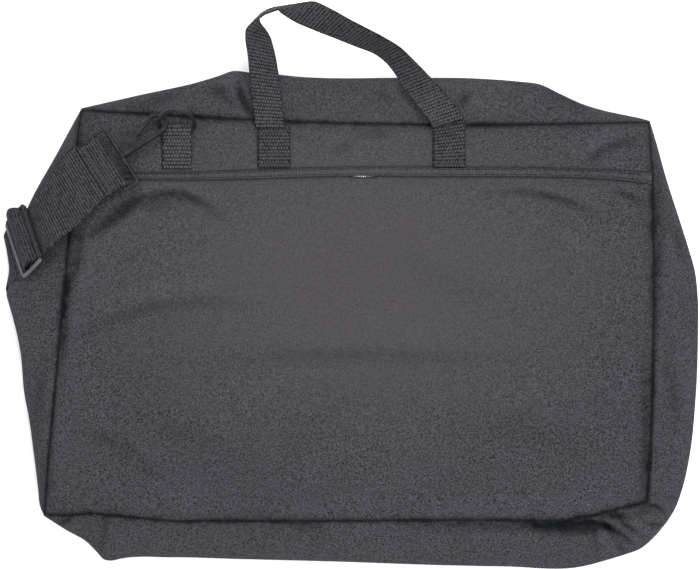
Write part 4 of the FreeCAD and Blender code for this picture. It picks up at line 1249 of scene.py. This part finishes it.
    def seams(self) -> list[bpy.types.Object]:
        """Bound seams that join the gussets to the front and the back.

        Returns:
            The front seam and the back seam.
        """
        made = []
        for name, front in (("front_seam", True), ("back_seam", False)):
            lines = []
            for side in Side:
                t = even(150)[:-1]
                line = self.pattern.seam(side, t) if front else self.pattern.back_seam(side, t)
                inner = line - self.pattern.out(side) * 0.0002
                z = self.pattern.rim_height(line) - 1.3 * MM
                if front:
                    z = self.pattern.seam_height(t) - 4.3 * MM
                lines.append(np.column_stack([inner, z]))
            obj = Build.tube(name, np.vstack(lines), 1.4 * MM, self.kit.binding, 10, close=True, flatten=0.9)
            place = "front" if front else "back"
            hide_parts(*[f"{place}_binding_{s.name.lower()}" for s in Side])
            made.append(obj)
        return made

    def back(self) -> bpy.types.Object:
        """Back cloth, lifted over the strap and the rear hook.

        Returns:
            The new object.
        """
        rows, cols = 110, 160
        u, v = even(cols)[None, :, None], even(rows)[:, None, None]
        tu, tv = even(cols), even(rows)
        seam = self.pattern.back_seam
        top, low = seam(Side.TOP, tu)[None], seam(Side.BOTTOM, 1 - tu)[None]
        left, right = seam(Side.LEFT, 1 - tv)[:, None], seam(Side.RIGHT, tv)[:, None]
        corners = [self.pattern.corner(k) for k in range(4)]
        straight = (corners[0] * (1 - u) + corners[1] * u) * (1 - v)
        straight = straight + (corners[3] * (1 - u) + corners[2] * u) * v
        plan = top * (1 - v) + low * v + left * (1 - u) + right * u - straight
        x, y = plan[..., 0], plan[..., 1]
        away = np.minimum.reduce([np.broadcast_to(np.minimum(u, 1 - u)[..., 0] * 0.52, x.shape),
                                  np.broadcast_to(np.minimum(v, 1 - v)[..., 0] * 0.35, x.shape)])
        hump = np.hypot((x - self.hook_middle[0]) / self.hook_reach[0],
                        (y - self.hook_middle[1]) / self.hook_reach[1])
        lift = self.back_lift + self.hook_lift * ease((2.1 - hump) / 1.1)
        rim = self.pattern.rim_height(plan.reshape(-1, 2)).reshape(x.shape)
        z = rim + lift * ease(away / (24 * MM)) + 0.8 * cloth_lie(x + 0.6, -y) * ease(away / (20 * MM))
        grid = np.dstack([plan, z])[:, ::-1]
        # painted shade near the back seam all round
        painted_shading = (-0.6 * np.exp(-away / (4 * MM)))[:, ::-1]
        obj = Build.sheet("back_cloth", grid, self.kit.cloth, painted_shading)
        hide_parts("back_panel")
        return obj

    def build(self, stitching: "Stitching") -> list[bpy.types.Object]:
        """Make every cloth piece and put it on the bag.

        Args:
            stitching: lays the stitches.

        Returns:
            The new objects.
        """
        cloths = [self.panel(), self.yoke(), self.flap(), self.gussets(), self.back()]
        cloths += self.seams()
        for obj in cloths:
            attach(obj, "bag")
        cloths.append(self.flap_stitches(stitching))
        return cloths


# ---- Stitching -----------------------------------------------------------------------------------
@dataclass
class Stitching:
    """Rows of thread stitches laid on the cloth and webbing."""

    kit: Kit
    pitch: float = 2.8 * MM
    length: float = 2.1 * MM
    radius: float = 0.26 * MM

    def rows(self, name: str, paths: list[Line], body: str, slot: str, dark: bool = False) -> bpy.types.Object:
        """Every stitch of some rows as one piece.

        Args:
            name: the piece's name.
            paths: the lines that the rows follow.
            body: the body they are sewn to.
            slot: the record's material slot.
            dark: whether the stitches take the dark thread, whose darkness is painted shade.

        Returns:
            The new object.
        """
        verts, faces = [], []
        angle = np.linspace(0, 2 * math.pi, 5, endpoint=False)
        for path in paths:
            total = float(np.sum(np.linalg.norm(np.diff(path, axis=0), axis=1)))
            count = max(1, round(total / self.pitch))
            middle = (np.arange(count) + 0.5) / count
            half = self.length / total / 2
            for share in middle:
                ends = smooth_through(path, np.array([share - half, share, share + half]))
                run = unit(ends[2] - ends[0])
                side = unit(np.cross(run, [0.0, 0.0, 1.0]))
                up = np.cross(side, run)
                start = len(verts)
                for k, (where, size) in enumerate(((0, 0.25), (0, 0.9), (1, 1.0), (2, 0.9), (2, 0.25))):
                    centre = ends[where] - up * (self.radius * (0.9, 0.3, 0.0, 0.3, 0.9)[k])
                    verts += [centre + (side * math.cos(a) + up * math.sin(a)) * self.radius * size
                              for a in angle]
                for i in range(4):
                    for j in range(5):
                        a, b = start + i * 5 + j, start + i * 5 + (j + 1) % 5
                        faces.append((a, b, b + 5, a + 5))
        obj = Build.piece(name, np.array(verts), faces, self.kit.shaded_thread if dark else self.kit.thread)
        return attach(obj, body)

    @staticmethod
    def boxed_cross(corners: list[np.ndarray]) -> list[Line]:
        """Lines of a sewn box and the cross in it, from the box's four corners.

        Args:
            corners: the box's corners, in order round it.

        Returns:
            Six lines, each from end to middle to end.
        """
        ends = list(zip(corners, corners[1:] + corners[:1]))
        ends += [(corners[0], corners[2]), (corners[1], corners[3])]
        return [np.array([start, (start + end) / 2, end]) for start, end in ends]


# ---- Zip --------------------------------------------------------------------------------------------
@dataclass
class Zip:
    """Teeth, tapes, stops, slider and pull of the zip under the flap."""

    kit: Kit
    pitch: float = 1.7 * MM
    # span along x where the lower teeth take the painted glint
    glint_span: tuple = (0.0035, 0.0215)

    def teeth(self, node: str, sign: int) -> bpy.types.Object:
        """One row of small moulded teeth on its tape's edge.

        Args:
            node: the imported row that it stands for.
            sign: 1 above the zip's middle line, -1 below it.

        Returns:
            The new object.
        """
        low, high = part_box(node)
        inner = low.y if sign > 0 else high.y
        outer = high.y if sign > 0 else low.y
        shift = 0.0 if sign > 0 else 0.5
        xs = np.arange(low.x + self.pitch, high.x - self.pitch, self.pitch) + shift * self.pitch
        verts, faces = [], []
        profile = ((-0.42, 0.0), (-0.34, 0.75), (0.0, 1.0), (0.34, 0.75), (0.42, 0.0))
        for x in xs:
            start = len(verts)
            for y, scale in ((inner, 0.72), (inner + sign * 0.0007, 1.0), (outer, 0.6)):
                verts += [(x + px * self.pitch * scale, y, low.z + pz * scale * (high.z - low.z))
                          for px, pz in profile]
            for i in range(2):
                for j in range(4):
                    a = start + i * 5 + j
                    faces.append((a, a + 1, a + 6, a + 5))
            faces += [tuple(range(start, start + 5)), tuple(range(start + 10, start + 15))]
        obj = Build.piece(node + "_row", np.array(verts), faces, self.kit.teeth)
        # teeth inside the span take the near-white painted glint finish
        obj.data.materials.append(self.kit.glint)
        for polygon in obj.data.polygons:
            polygon.material_index = int(self.glint_span[0] < polygon.center.x < self.glint_span[1])
        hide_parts(node)
        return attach(obj, "bag")

    def dress(self, nodes: dict) -> None:
        """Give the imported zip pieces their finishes.

        Args:
            nodes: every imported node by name.
        """
        Dresser.paint(nodes, self.kit.tape, "upper_zip_tape", "lower_zip_tape")
        Dresser.paint(nodes, self.kit.steel, "zip_stops")
        Dresser.paint(nodes, self.kit.hardware, "zip_slider", "zip_pull")


class Dresser:
    """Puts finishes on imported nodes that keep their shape."""

    @staticmethod
    def paint(nodes: dict, finish: bpy.types.Material, *names: str) -> None:
        """Put one finish in every material slot of the named nodes.

        Args:
            nodes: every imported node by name.
            finish: the finish.
            names: which nodes.
        """
        for name in names:
            mesh = nodes[name].data
            mesh.materials.clear()
            mesh.materials.append(finish)
            for polygon in mesh.polygons:
                polygon.material_index = 0


# ---- Webbing ------------------------------------------------------------------------------------------
@dataclass
class Band:
    """A length of ribbed webbing between two edge lines."""

    name: str
    finish: bpy.types.Material
    left: Line
    right: Line
    thick: float = 1.8 * MM
    rib: float = 3.1 * MM
    knot: float = 2.5 * MM
    relief: float = 0.42 * MM
    steps: int = 6
    floor: float = 0.1 * MM

    def build(self) -> bpy.types.Object:
        """Make the band as a closed ribbed solid.

        Returns:
            The new object.
        """
        middle = (self.left + self.right) / 2
        length = float(np.sum(np.linalg.norm(np.diff(middle, axis=0), axis=1)))
        count = max(8, int(length / self.rib * self.steps))
        shares = even(count)
        a, b = smooth_through(self.left, shares), smooth_through(self.right, shares)
        middle = (a + b) / 2
        across = b - a
        width = float(np.median(np.linalg.norm(across, axis=1)))
        run = np.gradient(middle, axis=0)
        face = unit(np.cross(across, run)) * -1
        columns = max(12, int(width / self.knot * 4))
        u = even(columns)
        v = np.concatenate([[0.0], np.cumsum(np.linalg.norm(np.diff(middle, axis=0), axis=1))])
        rows = np.floor(v / self.rib)
        wave = np.abs(np.sin(math.pi * v / self.rib))[:, None] ** 0.7
        knots = 0.5 + 0.5 * np.cos(2 * math.pi * (u[None, :] * width / self.knot + 0.5 * rows[:, None]))
        edge = ease(np.minimum(u, 1 - u) * width / (1.6 * MM))[None, :]
        relief = wave * (0.3 + 0.7 * knots) * edge
        half = self.thick / 2 * (0.55 + 0.45 * edge)
        uneven = 0.15 * MM * mottle(v[:, None] + 0 * u, u * width + 0 * v[:, None], 0.012, 41)
        base = a[:, None] + across[:, None] * u[None, :, None]
        top = base + face[:, None] * (half + relief * self.relief + uneven - self.relief * 0.6)[..., None]
        low = base - face[:, None] * (half + relief * self.relief - uneven - self.relief * 0.6)[..., None]
        rings = np.concatenate([top, low[:, ::-1]], axis=1)
        rings[..., 2] = np.maximum(rings[..., 2], self.floor)
        # painted shading of the ribs: gaps between ribs and the band's edges darkened as painted shade, rib tops
        # lightened as painted highlight, broken up by random fuzz
        fuzz = mottle(v[:, None] + 0 * u, u * width + 0 * v[:, None], 0.0014, 43)
        painted_shading = np.clip((relief - 0.44 * (0.45 + 0.55 * edge)) * 2.7 + 0.62 * fuzz, -0.97, 0.95)
        uv_top = np.dstack([np.broadcast_to(u * width, (count, columns)),
                            np.broadcast_to(v[:, None], (count, columns))])
        uv = np.concatenate([uv_top, uv_top[:, ::-1]], axis=1)
        return Build.loft(self.name, rings, self.finish, np.concatenate([painted_shading, painted_shading[:, ::-1]], axis=1), uv)


@dataclass
class Handle:
    """Carrying handle: two sewn ends and the twisted loop between them."""

    kit: Kit
    base_z: float = 39.3 * MM
    width: float = 29.0 * MM
    thread_lift: float = 1.15 * MM
    # outer edge x, y, inner edge x, y, height of the middle, which edge stands higher
    stations: tuple = (
        (-84.4, 139.5, -57.6, 139.5, 0.0, 0),
        (-85.6, 150, -59.0, 150, 1.4, 1),
        (-87.4, 164, -60.2, 164, 3.0, 1),
        (-89.2, 186, -63.2, 186.2, 6.0, 1),
        (-90.8, 204, -66.6, 205, 8.0, 1),
        (-93.0, 219, -71.2, 220, 9.6, 1),
        (-92.6, 226.5, -76.8, 227, 10.8, 1),
        (-87.0, 233.6, -82.0, 230.6, 11.4, 1),
        (-79.4, 240.6, -77.6, 235.4, 11.8, 1),
        (-70.6, 245.2, -69.4, 239.2, 12.0, 1),
        (-56.4, 247.8, -64.8, 241.0, 12.0, 1),
        (-41.0, 250.0, -60.5, 239.0, 11.4, 0.45),
        (-32.0, 249.8, -50.5, 233.4, 10.8, -0.6),
        (-17.0, 242.8, -31.5, 225.6, 10.0, -1),
        (0.8, 233.0, -9.6, 217.2, 9.4, -1),
        (16.6, 224.6, 8.0, 210.4, 9.0, -1),
        (30.4, 217.3, 22.8, 204.4, 8.6, -1),
        (43.6, 209.4, 33.6, 195.6, 8.0, -1),
        (56.6, 197.4, 40.2, 187.0, 7.0, -1),
        (70.0, 184.2, 46.6, 176.0, 5.6, -1),
        (82.6, 171.4, 55.8, 163.6, 4.4, -1),
        (92.8, 159.8, 64.2, 152.6, 3.4, -1),
        (99.8, 151.2, 71.6, 142.6, 2.4, -0.5),
        (101.6, 148.2, 73.4, 139.2, 0.2, 0),
    )

    def loop(self) -> bpy.types.Object:
        """The free loop, which bends where it leaves the sewn ends.

        Returns:
            The new object.
        """
        outer, inner = [], []
        for ax, ay, bx, by, z, lean in self.stations:
            plan = math.hypot(bx - ax, by - ay) * MM
            rise = math.sqrt(max(self.width**2 - plan**2, 0.0)) / 2 * lean
            outer.append((ax * MM, ay * MM, self.base_z + z * MM - rise))
            inner.append((bx * MM, by * MM, self.base_z + z * MM + rise))
        obj = Band("handle_webbing", self.kit.handle, np.array(outer), np.array(inner)).build()
        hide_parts("handle_loop")
        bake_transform(obj)
        return obj

    def sewn_end(self, node: str, stitching: Stitching) -> list[bpy.types.Object]:
        """One sewn end with its box, cross and bar of stitches.

        Args:
            node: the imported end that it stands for.
            stitching: lays the stitches.

        Returns:
            The webbing and its stitches.
        """
        low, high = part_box(node)
        z0, z1 = high.z + 0.1 * MM, low.z + 1.6 * MM
        y0, y1 = low.y - 0.8 * MM, high.y + 2.2 * MM
        left = np.array([(low.x, y0, z0), (low.x, (y0 + y1) / 2, (z0 + z1) / 2 + 1 * MM), (low.x, y1, z1)])
        right = left + np.array([high.x - low.x, 0, 0])
        if node == "handle_right_end":
            right[2] += [0.0, 6.0 * MM, -1.2 * MM]
        web = Band(node + "_web", self.kit.patch, left, right, thick=1.5 * MM, relief=0.34 * MM).build()
        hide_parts(node)
        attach(web, "bag")
        wide = high.x - low.x
        corners = ((0.1, 0.1), (0.9, 0.1), (0.9, 0.86), (0.1, 0.86))
        paths = stitching.boxed_cross([self.on_end(left, wide, across, along) for across, along in corners])
        for along in (0.03, 0.075):
            paths.append(np.array([self.on_end(left, wide, across, along) for across in (0.08, 0.5, 0.92)]))
        return [web, stitching.rows(node + "_stitches", paths, "bag", "webbing")]

    def on_end(self, edge: Line, wide: float, across: float, along: float) -> np.ndarray:
        """Point on a sewn end's face, by shares across and along it from its left edge.

        Args:
            edge: three points up the left edge.
            wide: the end's width, in metres.
            across: share across.
            along: share up.

        Returns:
            The point.
        """
        start = edge[0] * (1 - along) + edge[2] * along
        swell = 1 * MM * 4 * along * (1 - along)
        return start + np.array([wide * across, 0, swell]) + np.array([0, 0, self.thread_lift])


class HookSet(Enum):
    """The two hooks: turn in plan, in degrees, and the loop's place, in millimetres."""

    FRONT = (32.4, (-202.5, 114.7, 49.4))
    REAR = (13.0, (96.7, 99.1, 6.7))


@dataclass
class Strap:
    """Shoulder strap: hook ends, the run over the front corner, the slide and the run under the bag."""

    kit: Kit
    width: float = 50.8 * MM
    web: float = 1.8 * MM
    slack: float = 0.4 * MM
    bar: float = 4.0 * MM
    loop_depth: float = 13.0 * MM
    fold_length: float = 14.0 * MM
    slide_at: tuple = (-291.2, 38.8, 28.0)
    slide_run: tuple = (-0.572, -0.515, -0.638)
    slide_across: tuple = (0.327, -0.857, 0.398)
    slide_length: float = 35.0 * MM
    slide_thick: float = 3.0 * MM
    rib: float = 2.6 * MM
    knot: float = 1.95 * MM

    def __post_init__(self) -> None:
        """Work out the slide's own directions."""
        self.run = unit(np.array(self.slide_run))
        across = np.array(self.slide_across)
        self.across = unit(across - self.run * float(across @ self.run))
        self.face = np.cross(self.run, self.across)
        self.under = self.slide_thick / 2 + self.slack + self.web / 2
        self.over = self.slide_thick / 2 + 2 * self.slack + 1.5 * self.web

    def on_slide(self, run: float, face: float) -> np.ndarray:
        """Point in the slide's frame, by millimetres along the webbing and metres off its face."""
        return mm(self.slide_at) + self.run * run * MM + self.face * face

    def band(self, name: str, points: list, acrosses: list, thick: float,
             spread: tuple = ()) -> bpy.types.Object:
        """Webbing through middle points with a width direction at each.

        Args:
            name: the piece's name.
            points: points down its middle.
            acrosses: direction across it at each point.
            thick: thickness of all its layers.
            spread: millimetres that the upper edge stands out at each point.

        Returns:
            The new object.
        """
        middle, side = np.array(points), unit(np.array(acrosses))
        out = mm(spread)[:, None] if spread else np.zeros((len(points), 1))
        lower, upper = middle + side * self.width / 2, middle - side * (self.width / 2 + out)
        return Band(name, self.kit.strap, lower, upper, thick, self.rib, self.knot, relief=0.5 * MM).build()

    def hook_frame(self, hook: HookSet) -> tuple[np.ndarray, np.ndarray, np.ndarray]:
        """Place of a hook's loop and its directions along the shank and across.

        Args:
            hook: which hook.

        Returns:
            Middle of the loop's near bar, the shank's direction in plan, and the width direction.
        """
        turn, place = hook.value
        angle = math.radians(turn)
        shank = np.array([math.cos(angle), math.sin(angle), 0.0])
        return mm(place), shank, np.array([math.sin(angle), -math.cos(angle), 0.0])

    def turn_round(self, hook: HookSet) -> list:
        """Middle line of the webbing that goes from its sewn tail round the loop's far bar.

        Args:
            hook: which hook.

        Returns:
            The points.
        """
        place, shank, _ = self.hook_frame(hook)
        up = np.array([0.0, 0.0, 1.0])
        r = self.bar / 2 + self.slack + self.web / 2
        centre = place - shank * self.loop_depth
        tail = centre - shank * (r + self.fold_length)
        points = [tail + up * self.web / 2 * 1.1, tail + shank * 5 * MM + up * self.web / 2 * 1.1]
        for degrees in (105, 70, 35, 0, -35, -70, -105):
            a = math.radians(degrees)
            points.append(centre + shank * r * math.cos(a) + up * r * math.sin(a))
        points += [tail + shank * 5 * MM - up * self.web / 2, tail - up * self.web / 2]
        return points

    def front(self) -> bpy.types.Object:
        """Webbing from the front loop to the slide and over its middle bar.

        Returns:
            The new object.
        """
        _, _, across = self.hook_frame(HookSet.FRONT)
        fold = self.turn_round(HookSet.FRONT)
        enter = self.on_slide(-24.5, -self.under - 0.4 * MM)
        middle = (fold[-1] + enter) / 2 + np.array([0, 0, 3 * MM])
        steps = [(-14.5, -self.under), (-11, -self.under + 0.7 * MM), (-4.6, self.over - 0.2 * MM),
                 (0, self.over + 0.4 * MM), (5.0, self.over - 0.6 * MM), (9.4, 1.6 * MM), (11.8, -0.6 * MM),
                 (14.6, -self.under), (18, -self.under)]
        points = fold + [middle, enter] + [self.on_slide(run, face) for run, face in steps]
        half_way = across + self.across
        acrosses = [across] * len(fold) + [half_way] + [self.across] * 10
        spread = (0.0,) * (len(fold) - 1) + (2.0, 3.0, 0.0, 0.0, 2.5, 6.5, 8.0, 7.5, 6.5, 5.5, 4.5, 3.0)
        obj = self.band("front_strap", points, acrosses, self.web, spread)
        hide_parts("strap_front_fold", "strap_front_run")
        return obj

    def sewn_end(self) -> bpy.types.Object:
        """Strap's other end, sewn round the slide's middle bar.

        Returns:
            The new object.
        """
        under = -self.under
        side = (self.bar / 2 + self.slack + self.web / 2) / MM
        steps = [(-side + 0.4, under), (-side, 0.0), (-side + 0.4, -under), (side - 0.4, -under), (side, 0.0),
                 (side, under - 0.6 * MM), (11.5, under - self.web - 0.3 * MM),
                 (18.0, under - self.web - 0.3 * MM)]
        points = [self.on_slide(r, f) for r, f in steps]
        obj = self.band("strap_turned_end", points, [self.across] * len(points), self.web)
        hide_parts("strap_sewn_end")
        return obj

    def back(self) -> bpy.types.Object:
        """Doubled webbing from the slide, round the left edge and under the bag to the rear loop.

        Returns:
            The new object.
        """
        place, shank, across = self.hook_frame(HookSet.REAR)
        flat = 2.0 * MM
        fold_end = -(self.loop_depth + self.bar / 2 + self.slack + self.web + self.fold_length)
        tail = [place + shank * (fold_end - back * MM) for back in (70, 34, 1.2)]
        tail[0][2], tail[1][2] = flat, flat
        turn = [mm(point) for point in ((-306.8, 23.5, 11.8), (-309.8, 20.0, 8.2), (-309.0, 17.5, 4.6),
                                        (-302.0, 16.0, 2.6), (-280.0, 17.0, 2.2))]
        points = [self.on_slide(18.5, -self.under - 1.2 * MM), *turn, *tail]
        acrosses = [self.across, (0.10, -0.98, 0.16), (0.04, -0.99, 0.08), (0.02, -1.0, 0.03), (0.0, -1.0, 0.0)]
        acrosses += [across] * 4
        obj = self.band("back_strap", points, acrosses, 3.4 * MM)
        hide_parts("strap_back_run")
        return obj

    def back_fold(self) -> bpy.types.Object:
        """Webbing turned round the rear loop's bar.

        Returns:
            The new object.
        """
        points = self.turn_round(HookSet.REAR)
        _, _, across = self.hook_frame(HookSet.REAR)
        obj = self.band("back_strap_fold", points, [across] * len(points), self.web)
        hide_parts("strap_back_fold")
        return obj

    def slide(self) -> bpy.types.Object:
        """Moulded slide: a broad bar, a middle bar, a slim outer bar and two rounded ends.

        Returns:
            The new object.
        """
        half, side = self.slide_length / 2, self.width / 2 + 0.8 * MM + 2 * MM
        # along the slide, half width, flatness, and whether it takes the pale plastic finish
        bars = ((-half + 2.6 * MM, 2.7 * MM, 0.6, 0), (0.0, 1.8 * MM, 0.8, 0),
                (half - 1.5 * MM, 1.5 * MM, 0.95, 1))
        parts = []
        for run, radius, flat, pale in bars:
            ends = [mm(self.slide_at) + self.run * run + self.across * side * a for a in (-1, -0.5, 0, 0.5, 1)]
            parts.append((np.array(ends), radius, flat, pale))
        for a, pale in ((-side, 0), (side, 1)):
            path = [mm(self.slide_at) + self.run * (half - 2 * MM) * r + self.across * a
                    for r in (-1, -0.5, 0, 0.5, 1)]
            parts.append((np.array(path), 1.8 * MM, 0.8, pale))
        verts, faces, pales = [], [], []
        for path, radius, flat, pale in parts:
            start, before = len(verts), len(faces)
            rings = self.bar_rings(path, radius, flat)
            count, sides = rings.shape[:2]
            verts += list(rings.reshape(-1, 3))
            faces += Build.grid_faces(count, sides, wrap=True, start=start)
            faces += [tuple(range(start, start + sides)),
                      tuple(reversed(range(start + (count - 1) * sides, start + count * sides)))]
            pales += [pale] * (len(faces) - before)
        obj = Build.piece("strap_slide_moulding", np.array(verts), faces, self.kit.hardware)
        obj.data.materials.append(self.kit.plastic)
        obj.data.polygons.foreach_set("material_index", pales)
        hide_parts("strap_slide")
        return obj

    def bar_rings(self, path: Line, radius: float, flat: float) -> Grid:
        """Rings round a bar of the slide, flattened along the slide's own face direction.

        Args:
            path: middle line of the bar.
            radius: half its width, in metres.
            flat: thickness over width.

        Returns:
            The rings.
        """
        path = smooth_through(path, even(24))
        run = unit(np.gradient(path, axis=0))
        side = unit(np.cross(run, self.face))
        reach = np.minimum(even(24), 1 - even(24)) * float(np.linalg.norm(path[-1] - path[0]))
        swell = np.sqrt(1 - (1 - clamp(reach / radius)) ** 2 * 0.85)
        angle = np.linspace(0, 2 * math.pi, 14, endpoint=False)
        across, up = np.cos(angle), np.sin(angle)
        across, up = np.sign(across) * np.abs(across) ** 0.75, np.sign(up) * np.abs(up) ** 0.75
        return (path[:, None] + side[:, None] * (radius * across)[None, :, None] * swell[:, None, None]
                + self.face[None, None] * (radius * flat * up)[None, :, None] * swell[:, None, None])

    def build(self) -> list[bpy.types.Object]:
        """Make the strap's webbing and the stitches that close its hook end.

        Returns:
            The new objects.
        """
        made = [self.front(), self.sewn_end(), self.back(), self.back_fold()]
        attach(self.slide(), "bag")
        for obj in made:
            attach(obj, "bag")
        place, shank, across = self.hook_frame(HookSet.FRONT)
        start = place - shank * (self.loop_depth + 12 * MM) + np.array([0, 0, 3.0 * MM])
        zigzag = []
        for k in range(25):
            side = (k / 24 - 0.5) * 46 * MM
            zigzag.append(start + across * side + shank * (1.6 * MM if k % 2 else -1.6 * MM))
        rows = [np.array([a, (a + b) / 2, b]) for a, b in zip(zigzag, zigzag[1:])]
        heavy = Stitching(self.kit, radius=0.42 * MM)
        made.append(heavy.rows("strap_zigzag_stitches", rows, "bag", "webbing"))
        return made


@dataclass
class RingTab:
    """Short sewn web that holds a ring."""

    kit: Kit
    node: str
    up: int

    def build(self, stitching: Stitching) -> list[bpy.types.Object]:
        """Make the tab with its sleeve round the ring's bar and its stitches.

        Args:
            stitching: lays the stitches.

        Returns:
            The webbing and its stitches.
        """
        low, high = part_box(self.node)
        r = 3.05 * MM
        bar_y = high.y - r - 0.9 * MM
        bar_z = high.z - r - 0.9 * MM if self.up > 0 else low.z + r + 0.9 * MM
        flat_z = low.z + 1.0 * MM if self.up > 0 else high.z - 1.0 * MM
        points = [(low.y - 2.2 * MM, flat_z + self.up * 2.2 * MM),
                  (low.y + 12 * MM, flat_z + self.up * 2.4 * MM), (low.y + 23 * MM, flat_z + self.up * 3.2 * MM)]
        for degrees in (110, 75, 40, 5, -30, -65, -100):
            a = math.radians(degrees)
            points.append((bar_y + r * math.cos(a), bar_z + self.up * r * math.sin(a)))
        points += [(low.y + 24 * MM, flat_z + self.up * 0.8 * MM),
                   (low.y - 2.2 * MM, flat_z + self.up * 0.5 * MM)]
        left = np.array([(low.x, y, z) for y, z in points])
        right = left + np.array([high.x - low.x, 0, 0])
        web = Band(self.node + "_web", self.kit.handle, left, right, thick=1.5 * MM, rib=3.3 * MM,
                   relief=0.4 * MM).build()
        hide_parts(self.node)
        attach(web, "bag")
        z = flat_z + self.up * 3.4 * MM
        x0, x1 = low.x + 2.5 * MM, high.x - 2.5 * MM
        y0, y1, z1 = low.y + 2.4 * MM, low.y + 21 * MM, z + self.up * 0.9 * MM
        corners = ((x0, y0, z), (x1, y0, z), (x1, y1, z1), (x0, y1, z1))
        paths = stitching.boxed_cross([np.array(corner) for corner in corners])
        return [web, stitching.rows(self.node + "_stitches", paths, "bag", "webbing")]


# ---- Studio -------------------------------------------------------------------------------------------
@dataclass(frozen=True)
class Studio:
    """Pale floor, soft lights and the camera straight over the bag."""

    lens: float = 135.0
    sensor: float = 36.0
    framed_width: float = 0.623
    focus_height: float = 0.034
    paper_half: float = 6.0
    room_strength: float = 1.15
    # place, size and power of each lamp
    main_light: tuple = ((0.3, 1.5, 2.4), 1.6, 66.0)
    fill_light: tuple = ((0.8, -1.6, 2.2), 2.0, 52.0)

    def floor(self) -> None:
        """A broad pale floor under the bag."""
        edges = (-self.paper_half, self.paper_half)
        verts = np.array([(x, y, -0.0004) for y in edges for x in edges])
        floor = Build.piece("studio_floor", verts, [(0, 1, 3, 2)], Backdrop().make())

    def lamp(self, name: str, place: tuple, size: float, power: float) -> None:
        """One square soft light that faces the bag.

        Args:
            name: its name.
            place: where it hangs, in metres.
            size: its width, in metres.
            power: its power, in watts.
        """
        data = bpy.data.lights.new(name, "AREA")
        data.shape, data.size, data.energy = "SQUARE", size, power
        lamp = bpy.data.objects.new(name, data)
        lamp.location = place
        lamp.rotation_euler = (-Vector(place)).to_track_quat("-Z", "Y").to_euler()
        bpy.context.scene.collection.objects.link(lamp)

    def lights(self) -> None:
        """An even bright room with a main light from the handle side."""
        world = bpy.data.worlds.new("bright_room")
        world.use_nodes = True
        back = world.node_tree.nodes["Background"]
        back.inputs["Color"].default_value = (0.97, 0.98, 1.0, 1.0)
        back.inputs["Strength"].default_value = self.room_strength
        bpy.context.scene.world = world
        self.lamp("main_light", *self.main_light)
        self.lamp("fill_light", *self.fill_light)

    def camera(self) -> None:
        """Long lens straight over the middle of the footprint."""
        data = bpy.data.cameras.new("camera")
        data.lens, data.sensor_width = self.lens, self.sensor
        camera = bpy.data.objects.new("camera", data)
        distance = self.framed_width * self.lens / self.sensor
        camera.location = (0.0, 0.0, self.focus_height + distance)
        bpy.context.scene.collection.objects.link(camera)
        bpy.context.scene.camera = camera
        bpy.context.scene.view_settings.view_transform = "Standard"

    def build(self) -> None:
        """Set the whole studio."""
        self.floor()
        self.lights()
        self.camera()


def report(pieces: list[bpy.types.Object]) -> None:
    """Log each new piece with its count of faces."""
    for obj in pieces:
        LOG.info("%s: %d faces", obj.name, len(obj.data.polygons))


def main() -> None:
    """Build the studio and every piece of the bag."""
    logging.basicConfig(level=logging.INFO, format="%(message)s")
    for obj in list(bpy.data.objects):
        bpy.data.objects.remove(obj)
    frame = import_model()
    Studio().build()
    kit = Kit()
    stitching = Stitching(kit)
    report(BagCloth(kit).build(stitching))
    closure = Zip(kit)
    report([closure.teeth("upper_zip_teeth", 1), closure.teeth("lower_zip_teeth", -1)])
    closure.dress(frame["nodes"])
    handle = Handle(kit)
    report([handle.loop()])
    report(handle.sewn_end("handle_left_end", stitching))
    report(handle.sewn_end("handle_right_end", stitching))
    report(Strap(kit).build())
    report(RingTab(kit, "front_ring_tab", 1).build(stitching))
    report(RingTab(kit, "rear_ring_tab", -1).build(stitching))
    metal = [name for name in frame["nodes"] if "hook" in name or "gate" in name or name.endswith("_ring")]
    Dresser.paint(frame["nodes"], kit.hardware, *metal)


if __name__ == "__main__":
    main()
